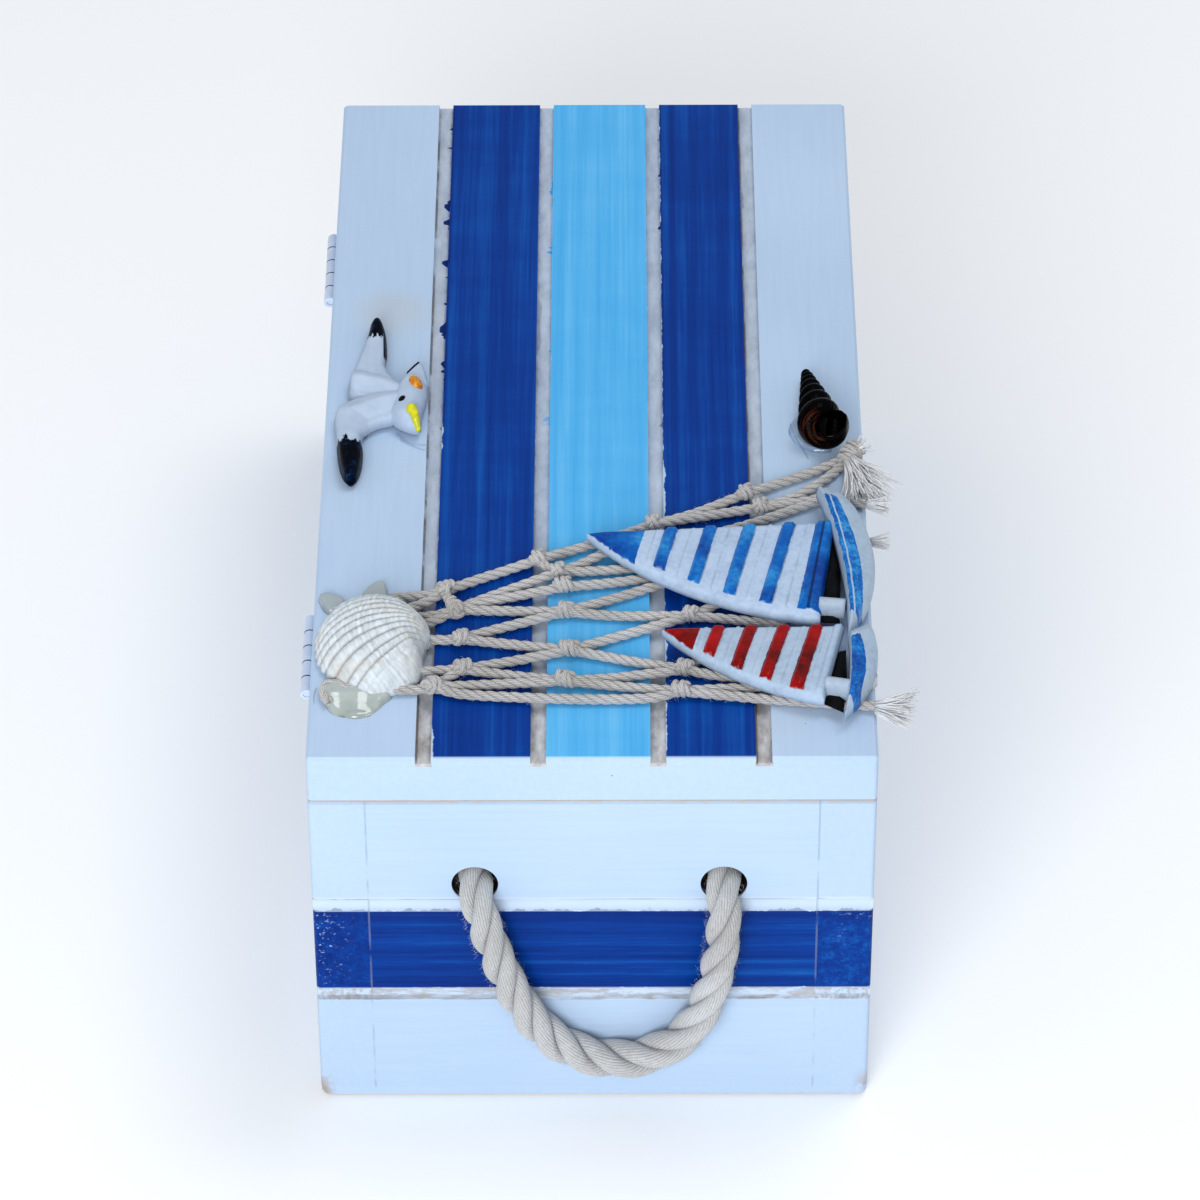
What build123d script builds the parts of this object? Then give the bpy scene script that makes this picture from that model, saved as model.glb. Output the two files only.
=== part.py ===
from build123d import *
import math
import os

# A painted keepsake box: four walls on a thin base, a lid on two butt hinges, a rope handle at the
# front end, and a net, two cast sailboats, a cast gull and two sea shells glued on the lid.
# Millimetres, +Z up, origin at the middle of the underside. The hinges are on the -X side, and the
# end with the rope handle faces -Y.

# ---------------------------------------------------------------- driving dimensions
# Boards
box_width = 120.0
box_length = 235.0
box_height = 100.0
wall_thickness = 12.0
lid_thickness = 12.0
base_thickness = 3.0
lid_gap = 0.3
corner_radius = 1.0
base_corner_radius = 2.2
base_edge_wear = 0.8
wall_arris = 0.7
lid_arris = 0.6

# Routed grooves: along the lid, measured from the hinge side, and level across both ends
plank_widths = (24.6, 24.1, 25.2, 22.2)
lid_groove_width = 3.3
lid_groove_depth = 1.4
end_groove_heights = (31.6, 57.9)
end_groove_width = 3.2
end_groove_depth = 1.1

# Hinges
hinge_length = 25.0
hinge_from_ends = (46.5, 50.0)
knuckle_count = 5
knuckle_gap = 0.2
barrel_diameter = 2.8
barrel_sides = 20
barrel_clearance = 0.1
pin_diameter = 1.4
pin_clearance = 0.05
pin_recess = 0.3
leaf_thickness = 0.7
leaf_reach = 9.0
mortise_clearance = 0.1
screw_inset = 4.8
screw_spacing = 15.0
screw_diameter = 2.0
screw_sides = 12
screw_length = 9.0
screw_clearance = 0.03

# Rope handle
rope_diameter = 8.0
rope_sides = 12
rope_clearance = 0.3
rope_rise = 0.4
handle_hole_diameter = 10.0
handle_hole_height = 64.0
handle_hole_spacing = 53.1
handle_hole_offset = 1.4
knot_diameter = 17.0
knot_length = 13.0
knot_taper = 20.0
knot_tail_length = 9.0

# Net
cord_diameter = 2.4
cord_clearance = 0.05
cord_sides = 6
net_width = 93.65
net_knot_diameter = 4.2
net_knot_length = 4.4
bunch_knot_diameter = 5.8
bunch_knot_length = 6.4
tail_end_diameter = 4.4
tail_length = 3.6

# Cast sailboats, flat castings laid over the net. Outlines are as (up the mast, towards the stern)
# from the bow corner of the sail's foot.
boat_lift = 2.8
sail_thickness = 2.7
rib_height = 0.6
hull_height = 5.4
hull_slope = 18.0
mast_length = 7.0
mast_width = 3.4
mast_inset = 4.5
large_boat = dict(
    from_side=7.3,
    from_front=71.1,
    heading=172.8,
    foot=32.5,
    tip=(53.3, 10.0),
    leech_bulge=3.4,
    deck_bow=(5.0, -10.5),
    deck_middle=(-2.3, 12.4),
    stern=(-6.5, 37.1),
    keel_middle=(-10.0, 12.4),
    bow_foot=(-0.9, -10.0),
    rib_starts=[8.2 * i for i in range(5)],
    rib_width=2.5,
    glue_spots=((11.0, 12.0), (26.5, 7.0), (-6.4, 14.0)),
)
small_boat = dict(
    from_side=6.3,
    from_front=36.5,
    heading=168.2,
    foot=23.9,
    tip=(38.0, 8.6),
    leech_bulge=3.2,
    deck_bow=(-1.5, 3.3),
    deck_middle=(-3.9, 15.0),
    stern=(-5.1, 27.6),
    keel_middle=(-9.0, 10.0),
    bow_foot=(-5.2, -2.4),
    rib_starts=[0.0] + [4.4 + 6.8 * i for i in range(4)],
    rib_width=2.3,
    glue_spots=((9.5, 9.0), (-6.4, 12.0)),
)

# Gull, a flat-backed casting. Outlines are as (x, y) from its middle.
gull_from_side = 14.0
gull_from_front = 117.5
glue_film = 0.4
far_wing_height = 3.6
near_wing_height = 4.4
gull_body_height = 6.0
wing_bevel = 1.2
body_bevel = 1.5
far_wing = (
    (3.0, 1.6),
    (-7.6, -0.4),
    (-9.6, 5.2),
    (-6.6, 19.5),
    (-3.4, 34.0),
    (-0.9, 17.0),
    (-1.4, 10.0),
    (3.4, 6.0),
)
near_wing = (
    (2.4, 3.4),
    (-8.4, -0.4),
    (-12.6, -5.4),
    (-10.4, -22.0),
    (-7.2, -33.8),
    (-4.4, -20.6),
    (-6.0, -14.4),
    (1.4, -8.8),
)
gull_body = (
    (8.5, 9.3),
    (9.6, -1.5),
    (7.2, -7.4),
    (8.6, -13.6),
    (2.6, -12.4),
    (-0.8, -6.0),
    (1.4, 3.0),
    (4.8, 10.5),
    (6.7, 13.2),
)

# Shells
cockle_from_side = 13.6
cockle_from_front = 33.5
cockle_size = (25.5, 31.5)
cockle_height = 10.2
cockle_wall = 1.8
cockle_ribs = 17
cockle_rib_spread = 260.0
cockle_rib_heading = 180.0
cockle_smooth_angles = (-30.0, 0.0, 30.0)
cockle_inner_sides = 15
cockle_rib_depth_share = 0.07
cockle_beak_pull = 7.0
# Growth lines from the rim to the beak, as (share of the rim, share of the height).
cockle_growth_shares = ((1.0, 0.0), (0.93, 0.38), (0.77, 0.72), (0.45, 0.95), (0.06, 1.0))
shell_clearance = 0.05
turret_from_side = 8.1
turret_from_front = 105.0
turret_heading = 99.5
turret_diameter = 12.5
turret_spire = 24.0
turret_base = 5.2
turret_whorls = 8
turret_whorl_ratio = 0.79
turret_suture_share = 0.86
turret_shoulder_share = 0.4
turret_sides = 12
turret_tip = 1.6

# Hot glue
glue_height = 1.8
glue_clearance = 0.05
cockle_glue_blobs = ((132.0, 3.4), (98.0, 2.6), (238.0, 4.2))
glue_sides = 10
gull_glue_diameter = 6.0
gull_glue_spots = ((4.4, -3.0), (-7.0, -9.0), (-4.4, 9.0))
boat_glue_diameter = 6.0
turret_glue_inner = 4.7
turret_glue_outer = 7.2

# ---------------------------------------------------------------- derived places
half_width = box_width / 2
half_length = box_length / 2
lid_top = box_height
lid_underside = lid_top - lid_thickness
wall_top = lid_underside - lid_gap
wall_height = wall_top - base_thickness
inner_width = box_width - 2 * wall_thickness
seam_height = (lid_underside + wall_top) / 2

barrel_radius = barrel_diameter / 2
hinge_axis_x = -half_width - barrel_clearance - barrel_radius
leaf_edge_x = -half_width + leaf_reach
hinge_centres_y = (-half_length + hinge_from_ends[0], half_length - hinge_from_ends[1])
screw_head_diameter = screw_diameter + 2 * leaf_thickness
screw_x = leaf_edge_x - screw_inset
knuckle_pitch = hinge_length / knuckle_count

rope_radius = rope_diameter / 2
rope_height = handle_hole_height + rope_rise
front_y = -half_length
handle_y = front_y - rope_clearance - rope_radius
hole_x = tuple(handle_hole_offset + side * handle_hole_spacing / 2 for side in (-1, 1))

# The hanging loop, as (x, height) seen from the front: uneven, lowest right of the middle.
loop_points = (
    (hole_x[0], rope_height),
    (-21.9, 50.8),
    (-17.2, 35.4),
    (-10.6, 22.9),
    (-1.2, 16.2),
    (9.6, 15.6),
    (18.6, 20.9),
    (24.3, 31.2),
    (27.8, 48.2),
    (hole_x[1], rope_height),
)


def facing(y):
    """Upright plane at y that looks along -Y: local x is X and local y is height."""
    return Plane(origin=(0, y, 0), x_dir=(1, 0, 0), z_dir=(0, -1, 0))


def polygon_ring(plane, radius, sides):
    """Corners of a regular polygon on a plane."""
    turns = [math.radians(360 * i / sides) for i in range(sides)]
    return [plane.from_local_coords((radius * math.cos(t), radius * math.sin(t), 0)) for t in turns]


def faceted(rings):
    """Solid with one flat face between each pair of neighbouring points of matching rings."""
    faces = [Face(Wire.make_polygon(ring)) for ring in (rings[0], rings[-1])]
    for lower, upper in zip(rings, rings[1:]):
        for i in range(len(lower)):
            faces.append(Face(Wire.make_polygon((lower[i - 1], lower[i], upper[i], upper[i - 1]))))
    return Solid(Shell(faces))


def barrel(plane, radius, half_length, sides):
    """Barrel-shaped solid about the plane's axis, widest on the plane."""
    end_radius = radius - half_length * math.tan(math.radians(knot_taper))
    ends = [polygon_ring(plane.offset(side * half_length), end_radius, sides) for side in (-1, 1)]
    return faceted([ends[0], polygon_ring(plane, radius, sides), ends[1]])


# ---------------------------------------------------------------- boards
def cut_end_grooves():
    """Cuts the level cove grooves of both ends from the wall being built."""
    half_chord = end_groove_width / 2
    radius = (half_chord**2 + end_groove_depth**2) / (2 * end_groove_depth)
    outside = half_length + radius - end_groove_depth
    with BuildSketch(Plane.YZ) as coves:
        for y in (-outside, outside):
            with Locations(*[(y, height) for height in end_groove_heights]):
                Circle(radius)
    extrude(coves.sketch, amount=half_width, both=True, mode=Mode.SUBTRACT)


screw_spots = [
    (screw_x, centre + side * screw_spacing / 2) for centre in hinge_centres_y for side in (-1, 1)
]


def cut_hinge_seats(face, inward):
    """Cuts the two leaf mortises and the pilot holes; inward is +1 up from face, -1 down."""
    length = hinge_length + 2 * mortise_clearance
    with BuildSketch(Plane.XY.offset(face)) as mortises:
        for centre in hinge_centres_y:
            with Locations((-half_width + leaf_reach / 2, centre)):
                Rectangle(leaf_reach, length)
    extrude(mortises.sketch, amount=inward * leaf_thickness, mode=Mode.SUBTRACT)
    with BuildSketch(Plane.XY.offset(face)) as pilots:
        with Locations(*screw_spots):
            Circle(screw_diameter / 2 + screw_clearance)
    extrude(pilots.sketch, amount=inward * (screw_length + screw_clearance), mode=Mode.SUBTRACT)


def side_board(side):
    """A long wall over the full length: side is -1 at the hinges and +1 where the lid opens."""
    with BuildPart() as board:
        with BuildSketch(Plane.XY.offset(base_thickness)):
            with Locations((side * (half_width - wall_thickness / 2), 0)):
                Rectangle(wall_thickness, box_length)
        extrude(amount=wall_height)
        uprights = board.edges().filter_by(Axis.Z).group_by(Axis.X)
        fillet(uprights[-1] if side > 0 else uprights[0], corner_radius)
        top_edges = board.edges().group_by(Axis.Z)[-1].sort_by(Axis.X)
        chamfer(top_edges[1:] if side > 0 else top_edges[:-1], wall_arris)
        cut_end_grooves()
        if side < 0:
            cut_hinge_seats(wall_top, -1)
    return board.part


def end_panel(side):
    """A short wall held between the side boards, with two holes for a rope handle."""
    middle = side * (half_length - wall_thickness / 2)
    with BuildPart() as panel:
        with BuildSketch(Plane.XY.offset(base_thickness)):
            with Locations((0, middle)):
                Rectangle(inner_width, wall_thickness)
        extrude(amount=wall_height)
        top_edges = panel.edges().group_by(Axis.Z)[-1].sort_by(Axis.Y)
        chamfer(top_edges[-1] if side > 0 else top_edges[0], wall_arris)
        cut_end_grooves()
        with BuildSketch(facing(middle)):
            with Locations(*[(x, handle_hole_height) for x in hole_x]):
                Circle(handle_hole_diameter / 2)
        extrude(amount=wall_thickness / 2, both=True, mode=Mode.SUBTRACT)
    return panel.part


def lid_groove_centres():
    """X of each groove along the lid."""
    return [-half_width + sum(plank_widths[: i + 1]) for i in range(len(plank_widths))]


with BuildPart() as base_board:
    with BuildSketch():
        RectangleRounded(box_width, box_length, base_corner_radius)
    extrude(amount=base_thickness)
    chamfer(base_board.edges().group_by(Axis.Z)[0], base_edge_wear)

with BuildPart() as lid_board:
    with BuildSketch(Plane.XY.offset(lid_underside)):
        RectangleRounded(box_width, box_length, corner_radius)
    extrude(amount=lid_thickness)
    chamfer(lid_board.edges().group_by(Axis.Z)[-1], lid_arris)
    with BuildSketch(Plane.XY.offset(lid_top)):
        with Locations(*[(x, 0) for x in lid_groove_centres()]):
            Rectangle(lid_groove_width, box_length)
    extrude(amount=-lid_groove_depth, mode=Mode.SUBTRACT)
    cut_hinge_seats(lid_underside, 1)


# ---------------------------------------------------------------- hinges
def knuckle_centres(centre, lid_side):
    """Y of the knuckles of one leaf: the wall leaf has the first, third and fifth."""
    first = centre - hinge_length / 2 + knuckle_pitch / 2
    wanted = 1 if lid_side else 0
    return [first + i * knuckle_pitch for i in range(knuckle_count) if i % 2 == wanted]


def hinge_leaf(centre, lid_side):
    """One leaf with its knuckles, cut clear of the other leaf's knuckles, with two countersunk holes."""
    plate_foot = lid_underside if lid_side else wall_top - leaf_thickness
    screw_face = lid_underside if lid_side else wall_top
    with BuildPart() as leaf:
        with BuildSketch(Plane.XY.offset(plate_foot)):
            with Locations(((hinge_axis_x + leaf_edge_x) / 2, centre)):
                Rectangle(leaf_edge_x - hinge_axis_x, hinge_length)
        extrude(amount=leaf_thickness)
        for y in knuckle_centres(centre, not lid_side):
            with BuildSketch(facing(y)):
                with Locations((hinge_axis_x, seam_height)):
                    RegularPolygon(barrel_radius + barrel_clearance, barrel_sides)
            extrude(amount=(knuckle_pitch + knuckle_gap) / 2, both=True, mode=Mode.SUBTRACT)
        for y in knuckle_centres(centre, lid_side):
            with BuildSketch(facing(y)):
                with Locations((hinge_axis_x, seam_height)):
                    RegularPolygon(barrel_radius, barrel_sides)
            extrude(amount=(knuckle_pitch - knuckle_gap) / 2, both=True)
        with BuildSketch(facing(centre)):
            with Locations((hinge_axis_x, seam_height)):
                RegularPolygon(pin_diameter / 2 + pin_clearance, barrel_sides)
        extrude(amount=hinge_length, both=True, mode=Mode.SUBTRACT)
        for side in (-1, 1):
            spot = (screw_x, centre + side * screw_spacing / 2, screw_face)
            outside = Plane(origin=spot, z_dir=(0, 0, 1 if lid_side else -1))
            with BuildSketch(outside):
                RegularPolygon(screw_head_diameter / 2 + screw_clearance, screw_sides)
            with BuildSketch(outside.offset(leaf_thickness)):
                RegularPolygon(screw_diameter / 2 + screw_clearance, screw_sides)
            loft(mode=Mode.SUBTRACT)
    return leaf.part


def hinge_pin(centre):
    """The pin through all the knuckles of one hinge, ending just inside the barrel."""
    with BuildPart() as pin:
        with BuildSketch(facing(centre)):
            with Locations((hinge_axis_x, seam_height)):
                RegularPolygon(pin_diameter / 2, barrel_sides)
        extrude(amount=hinge_length / 2 - pin_recess, both=True)
    return pin.part


def leaf_screws(lid_side):
    """The four countersunk screws of one pair of leaves, heads flush with the leaf."""
    face = lid_underside if lid_side else wall_top
    into = 1 if lid_side else -1
    head_radius = screw_head_diameter / 2
    shank_radius = screw_diameter / 2
    head_height = head_radius - shank_radius
    with BuildPart() as screws:
        for x, y in screw_spots:
            spot = Plane(origin=(x, y, face), z_dir=(0, 0, into))
            with BuildSketch(spot):
                RegularPolygon(head_radius, screw_sides)
            with BuildSketch(spot.offset(head_height)):
                RegularPolygon(shank_radius, screw_sides)
            loft()
            with BuildSketch(spot.offset(head_height)):
                RegularPolygon(shank_radius, screw_sides)
            extrude(amount=screw_length - head_height)
    return screws.part


# ---------------------------------------------------------------- rope handle
def corner_radii(points):
    """Largest arc for each corner of a route: 0.45 of its shorter run over the tangent of half the turn."""
    radii = []
    for before, corner, after in zip(points, points[1:], points[2:]):
        run_in = Vector(*corner) - Vector(*before)
        run_out = Vector(*after) - Vector(*corner)
        half_turn = math.radians(run_in.get_angle(run_out)) / 2
        radii.append(0.45 * min(run_in.length, run_out.length) / math.tan(half_turn))
    return radii


# The loop hangs in one upright plane just clear of the end panel. Each end is rounded about the
# line that it swings on, where it meets the rope's stretch through the panel.
loop_route = [(x, handle_y, z) for x, z in loop_points]
with BuildPart() as rope_loop:
    with BuildLine() as loop_line:
        FilletPolyline(*loop_route, radius=corner_radii(loop_route))
    with BuildSketch(Plane(origin=loop_line.line @ 0, z_dir=loop_line.line % 0)):
        RegularPolygon(rope_radius, rope_sides)
    sweep(path=loop_line.line)
    for x in hole_x:
        with BuildSketch(Plane.YZ.offset(x)):
            with Locations((handle_y, rope_height)):
                RegularPolygon(rope_radius, rope_sides)
        extrude(amount=rope_radius, both=True)


def rope_through_panel(x):
    """The straight stretch of rope in one hole of the front panel."""
    with BuildPart() as stretch:
        with BuildSketch(facing(front_y)):
            with Locations((x, rope_height)):
                RegularPolygon(rope_radius, rope_sides)
        extrude(amount=-wall_thickness)
    return stretch.part


def rope_knot(x):
    """The barrel-shaped stopper knot against the inner face of the panel, with its short tail."""
    middle = facing(front_y + wall_thickness + knot_length / 2)
    axis_plane = Plane(origin=middle.from_local_coords((x, rope_height, 0)), z_dir=middle.z_dir)
    with BuildPart() as knot:
        add(barrel(axis_plane, knot_diameter / 2, knot_length / 2, rope_sides))
        with BuildSketch(middle):
            with Locations((x, rope_height)):
                RegularPolygon(rope_radius, rope_sides)
        extrude(amount=-knot_length / 2 - knot_tail_length)
    return knot.part


# ---------------------------------------------------------------- net
# Knots of the netting, as (distance from the cockle's inner side, distance from the front end).
net_knots = {
    "a1": (1.65, 52.3),
    "a2": (4.15, 46.1),
    "a3": (5.45, 36.5),
    "a4": (5.85, 26.7),
    "a5": (-0.35, 20.9),
    "b0": (21.85, 62.9),
    "b1": (26.15, 58.6),
    "b2": (27.45, 53.7),
    "b3": (27.85, 45.5),
    "b4": (29.05, 32.9),
    "b5": (28.05, 22.9),
    "c1": (46.85, 74.7),
    "c2": (54.65, 43.9),
    "c3": (53.25, 26.5),
    "c4": (52.45, 19.5),
    "d1": (67.25, 85.3),
    "d2": (70.45, 80.5),
}
# Bends and ends of cords: under the boats, at the bunch knot and at the lid's edge.
net_bends = {
    "bunch": (91.25, 98.4),
    "bend1": (84.15, 87.9),
    "bend2": (9.05, 17.6),
    "bend3": (41.25, 16.4),
    "under1": (36.65, 64.9),
    "under2": (43.65, 59.1),
    "under3": (46.15, 55.4),
    "under4": (48.65, 53.8),
    "under5": (62.45, 49.6),
    "under6": (75.15, 41.3),
    "under7": (58.65, 31.4),
    "under8": (67.65, 23.6),
    "under9": (69.25, 20.8),
    "under10": (85.25, 83.9),
    "under11": (63.65, 74.9),
    "under12": (77.65, 66.0),
    "tail1": (net_width, 81.8),
    "tail2": (net_width, 69.1),
    "tail3": (net_width, 14.6),
}
net_links = (
    ("a1", "b0"),
    ("a1", "a2"),
    ("a2", "b1"),
    ("a2", "b2"),
    ("a2", "b3"),
    ("a3", "b3"),
    ("a3", "b4"),
    ("a4", "b4"),
    ("a4", "b5"),
    ("a4", "a5"),
    ("a5", "b5"),
    ("a5", "bend2"),
    ("bend2", "bend3"),
    ("bend3", "c4"),
    ("b0", "c1"),
    ("b0", "b1"),
    ("b1", "under1"),
    ("b1", "under2"),
    ("b2", "under3"),
    ("b3", "under4"),
    ("b3", "c2"),
    ("b4", "c2"),
    ("b4", "c3"),
    ("b5", "c3"),
    ("b5", "c4"),
    ("c1", "d1"),
    ("c1", "d2"),
    ("c2", "under5"),
    ("c2", "under6"),
    ("c3", "under7"),
    ("c3", "under8"),
    ("c4", "under9"),
    ("c4", "tail3"),
    ("d1", "bunch"),
    ("d2", "bend1"),
    ("bend1", "bunch"),
    ("d2", "under10"),
    ("under11", "under10"),
    ("under10", "tail1"),
    ("under12", "tail2"),
)
# Cords that end at the cockle's rim: the knot, and where on the rim, in degrees round from +X.
rim_links = (("a1", 62.0), ("a2", 42.0), ("a3", 12.0), ("a4", -28.0), ("a5", -58.0))
tail_headings = {"tail1": -14.0, "tail2": -8.0, "tail3": -18.0}

cord_height = lid_top + cord_clearance + cord_diameter / 2
cockle_x = -half_width + cockle_from_side
cockle_y = front_y + cockle_from_front


def on_lid(place, height):
    """Point above the lid, from (x, distance from the front end) and a height."""
    return Vector(place[0], front_y + place[1], height)


def cockle_rim(angle, clearance):
    """Place on the oval rim of the cockle, moved outwards by a clearance."""
    turn = math.radians(angle)
    across = (cockle_size[0] / 2 + clearance) * math.cos(turn)
    along = (cockle_size[1] / 2 + clearance) * math.sin(turn)
    return (cockle_x + across, cockle_from_front + along)


def lay_cord(start, end):
    """Adds one straight cord between two places on the lid."""
    foot = on_lid(start, cord_height)
    run = on_lid(end, cord_height) - foot
    with BuildSketch(Plane(origin=foot, z_dir=run)) as section:
        RegularPolygon(cord_diameter / 2, cord_sides)
    extrude(section.sketch, amount=run.length)


def tie_knot(place, toward, diameter, length):
    """Adds a barrel-shaped knot resting on the lid, its axis level and aimed at another place."""
    middle = on_lid(place, lid_top + cord_clearance + diameter / 2)
    aim = on_lid(toward, middle.Z) - middle
    add(barrel(Plane(origin=middle, z_dir=aim), diameter / 2, length / 2, cord_sides))


# Where the net lies: stretched from the cockle's inner side to the lid's edge.
net_left = cockle_x + cockle_size[0] / 2
net_stretch = (half_width - net_left) / net_width
net_places = {
    name: (net_left + across * net_stretch, from_front)
    for name, (across, from_front) in (net_knots | net_bends).items()
}
with BuildPart() as fishing_net:
    for first, second in net_links:
        lay_cord(net_places[first], net_places[second])
    for name, angle in rim_links:
        lay_cord(net_places[name], cockle_rim(angle, cord_diameter / 4))
    for name in net_knots:
        first, second = [pair for pair in net_links if name in pair][0]
        neighbour = second if first == name else first
        tie_knot(net_places[name], net_places[neighbour], net_knot_diameter, net_knot_length)
    tie_knot(net_places["bunch"], net_places["bend1"], bunch_knot_diameter, bunch_knot_length)
    for name, heading in tail_headings.items():
        foot = on_lid(net_places[name], cord_height)
        along = Vector(1, 0, 0).rotate(Axis.Z, heading)
        start = Plane(origin=foot, z_dir=along)
        cut_end = polygon_ring(start.offset(tail_length), tail_end_diameter / 2, cord_sides)
        add(faceted([polygon_ring(start, cord_diameter / 2, cord_sides), cut_end]))


# ---------------------------------------------------------------- cast sailboats
def boat_plane(boat, height):
    """Level plane of a boat: x up the mast and y towards the stern from the foot's bow corner."""
    corner = Vector(half_width - boat["from_side"], front_y + boat["from_front"], height)
    return Plane(origin=corner, x_dir=Vector(1, 0, 0).rotate(Axis.Z, boat["heading"]))


def sail_edges(boat):
    """Edges of the three-cornered sail, its leech bowed outwards."""
    with BuildLine() as outline:
        Line((0, 0), (0, boat["foot"]))
        SagittaArc((0, boat["foot"]), boat["tip"], boat["leech_bulge"])
        Line(boat["tip"], (0, 0))
    return outline.edges()


def sailboat(boat):
    """A flat casting: a hull with a sloping top, a mast foot, and a sail with ribs across it."""
    underside = lid_top + boat_lift
    with BuildPart() as casting:
        with BuildSketch(boat_plane(boat, underside)):
            with BuildLine():
                ThreePointArc(boat["deck_bow"], boat["deck_middle"], boat["stern"])
                ThreePointArc(boat["stern"], boat["keel_middle"], boat["bow_foot"])
                Line(boat["bow_foot"], boat["deck_bow"])
            make_face()
        extrude(amount=hull_height)
        deck = boat_plane(boat, underside + hull_height)
        deck_edge = deck.from_local_coords(Vector(*boat["deck_bow"]))
        slope = Plane(origin=deck_edge, x_dir=deck.y_dir, z_dir=deck.z_dir.rotate(
            Axis(deck_edge, deck.y_dir), -hull_slope))
        split(bisect_by=slope, keep=Keep.BOTTOM)
        with BuildSketch(boat_plane(boat, underside)):
            with Locations((0, boat["foot"] - mast_inset)):
                Rectangle(2 * mast_length, mast_width)
            make_face(sail_edges(boat))
        extrude(amount=sail_thickness)
        with BuildSketch(boat_plane(boat, underside + sail_thickness)):
            for start in boat["rib_starts"]:
                with Locations((start + boat["rib_width"] / 2, boat["foot"] / 2)):
                    Rectangle(boat["rib_width"], boat["foot"])
            make_face(sail_edges(boat), mode=Mode.INTERSECT)
        extrude(amount=rib_height)
    return casting.part


large_sailboat = sailboat(large_boat)
small_sailboat = sailboat(small_boat)

with BuildPart() as sailboat_glue:
    for boat in (large_boat, small_boat):
        with BuildSketch(boat_plane(boat, lid_top)):
            with Locations(*boat["glue_spots"]):
                RegularPolygon(boat_glue_diameter / 2, glue_sides)
        extrude(amount=boat_lift)


# ---------------------------------------------------------------- gull
gull_x = -half_width + gull_from_side
gull_y = front_y + gull_from_front
gull_back_plane = Plane(origin=(gull_x, gull_y, lid_top + glue_film))


def gull_layer(outline, height, bevel):
    """One flat-backed form of the casting, with a bevelled top."""
    with BuildPart() as layer:
        with BuildSketch(gull_back_plane):
            with BuildLine():
                Polyline(*outline, close=True)
            make_face()
        extrude(amount=height)
        chamfer(layer.edges().group_by(Axis.Z)[-1], bevel)
    return layer.part


with BuildPart() as seagull:
    add(gull_layer(far_wing, far_wing_height, wing_bevel))
    add(gull_layer(near_wing, near_wing_height, wing_bevel))
    add(gull_layer(gull_body, gull_body_height, body_bevel))

with BuildPart() as seagull_glue:
    with BuildSketch(Plane(origin=(gull_x, gull_y, lid_top))):
        with Locations(*gull_glue_spots):
            RegularPolygon(gull_glue_diameter / 2, glue_sides)
    extrude(amount=glue_film)


# ---------------------------------------------------------------- shells
def cockle_outline(points, shrink):
    """The rim as (x, y), from (angle, share of the groove depth) points."""
    outline = []
    for angle, dip in points:
        reach = 1 - dip * cockle_rib_depth_share
        across = (cockle_size[0] / 2 - shrink) * reach * math.cos(math.radians(angle))
        along = (cockle_size[1] / 2 - shrink) * reach * math.sin(math.radians(angle))
        outline.append((across, along))
    return outline


# Ribs fan over one side, and the beak's side is smooth.
rib_step = cockle_rib_spread / (2 * cockle_ribs)
first_rib = cockle_rib_heading - cockle_rib_spread / 2
rib_points = [(first_rib + i * rib_step, i % 2) for i in range(2 * cockle_ribs + 1)]
beak_points = [(angle, 0) for angle in cockle_smooth_angles]
inner_points = [(360 * i / cockle_inner_sides, 0) for i in range(cockle_inner_sides)]
ribbed_rim = cockle_outline(rib_points + beak_points, 0)
smooth_rim = cockle_outline(inner_points, cockle_wall)


def growth_lines(outline, height):
    """Rings of points: the outline, shrinking and drawn towards the beak as it rises."""
    lines = []
    for share, rise in cockle_growth_shares:
        middle = cockle_x + cockle_beak_pull * (1 - share)
        level = lid_top + shell_clearance + height * rise
        lines.append([Vector(middle + x * share, cockle_y + y * share, level) for x, y in outline])
    return lines


with BuildPart() as cockle_shell:
    add(faceted(growth_lines(ribbed_rim, cockle_height)))
    add(faceted(growth_lines(smooth_rim, cockle_height - cockle_wall)), mode=Mode.SUBTRACT)


def turret():
    """A tall spiral shell lying on its side, each whorl bulging between two sutures."""
    widest = turret_diameter / 2
    lean = math.degrees(math.atan(widest / turret_spire))
    along = Vector(1, 0, 0).rotate(Axis.Y, lean).rotate(Axis.Z, turret_heading)
    lift = turret_spire * math.sin(math.radians(lean)) + shell_clearance
    foot = Vector(half_width - turret_from_side, front_y + turret_from_front, lid_top + lift)
    sutures = [turret_spire * turret_whorl_ratio**i for i in range(1, turret_whorls + 1)]

    def on_cone(from_tip, share):
        """Profile point at a distance from the tip, at a share of the cone's radius there."""
        return (turret_spire - from_tip, widest * from_tip / turret_spire * share)

    profile = []
    for turn in (15, 40, 65):
        profile.append((-turret_base * math.cos(math.radians(turn)), widest * math.sin(math.radians(turn))))
    profile.append((0, widest))
    for lower, upper in zip(sutures, sutures[1:]):
        profile.append(on_cone(lower, turret_suture_share))
        profile.append(on_cone(lower + (upper - lower) * turret_shoulder_share, 1.0))
    profile.append(on_cone(turret_tip, 1.0))
    rings = []
    for distance, radius in profile:
        section = Plane(origin=foot + along * distance, x_dir=(along.Y, -along.X, 0), z_dir=along)
        rings.append(polygon_ring(section, radius, turret_sides))
    with BuildPart() as shell:
        add(faceted(rings))
    return shell.part


turret_shell = turret()

with BuildPart() as cockle_glue:
    with BuildSketch(Plane(origin=(cockle_x, cockle_y, lid_top))):
        for angle, radius in cockle_glue_blobs:
            place = cockle_rim(angle, radius / 3)
            with Locations((place[0] - cockle_x, place[1] - cockle_from_front)):
                RegularPolygon(radius, glue_sides)
        with BuildLine():
            Polyline(*cockle_outline(rib_points + beak_points, -glue_clearance), close=True)
        make_face(mode=Mode.SUBTRACT)
    extrude(amount=glue_height)


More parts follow.
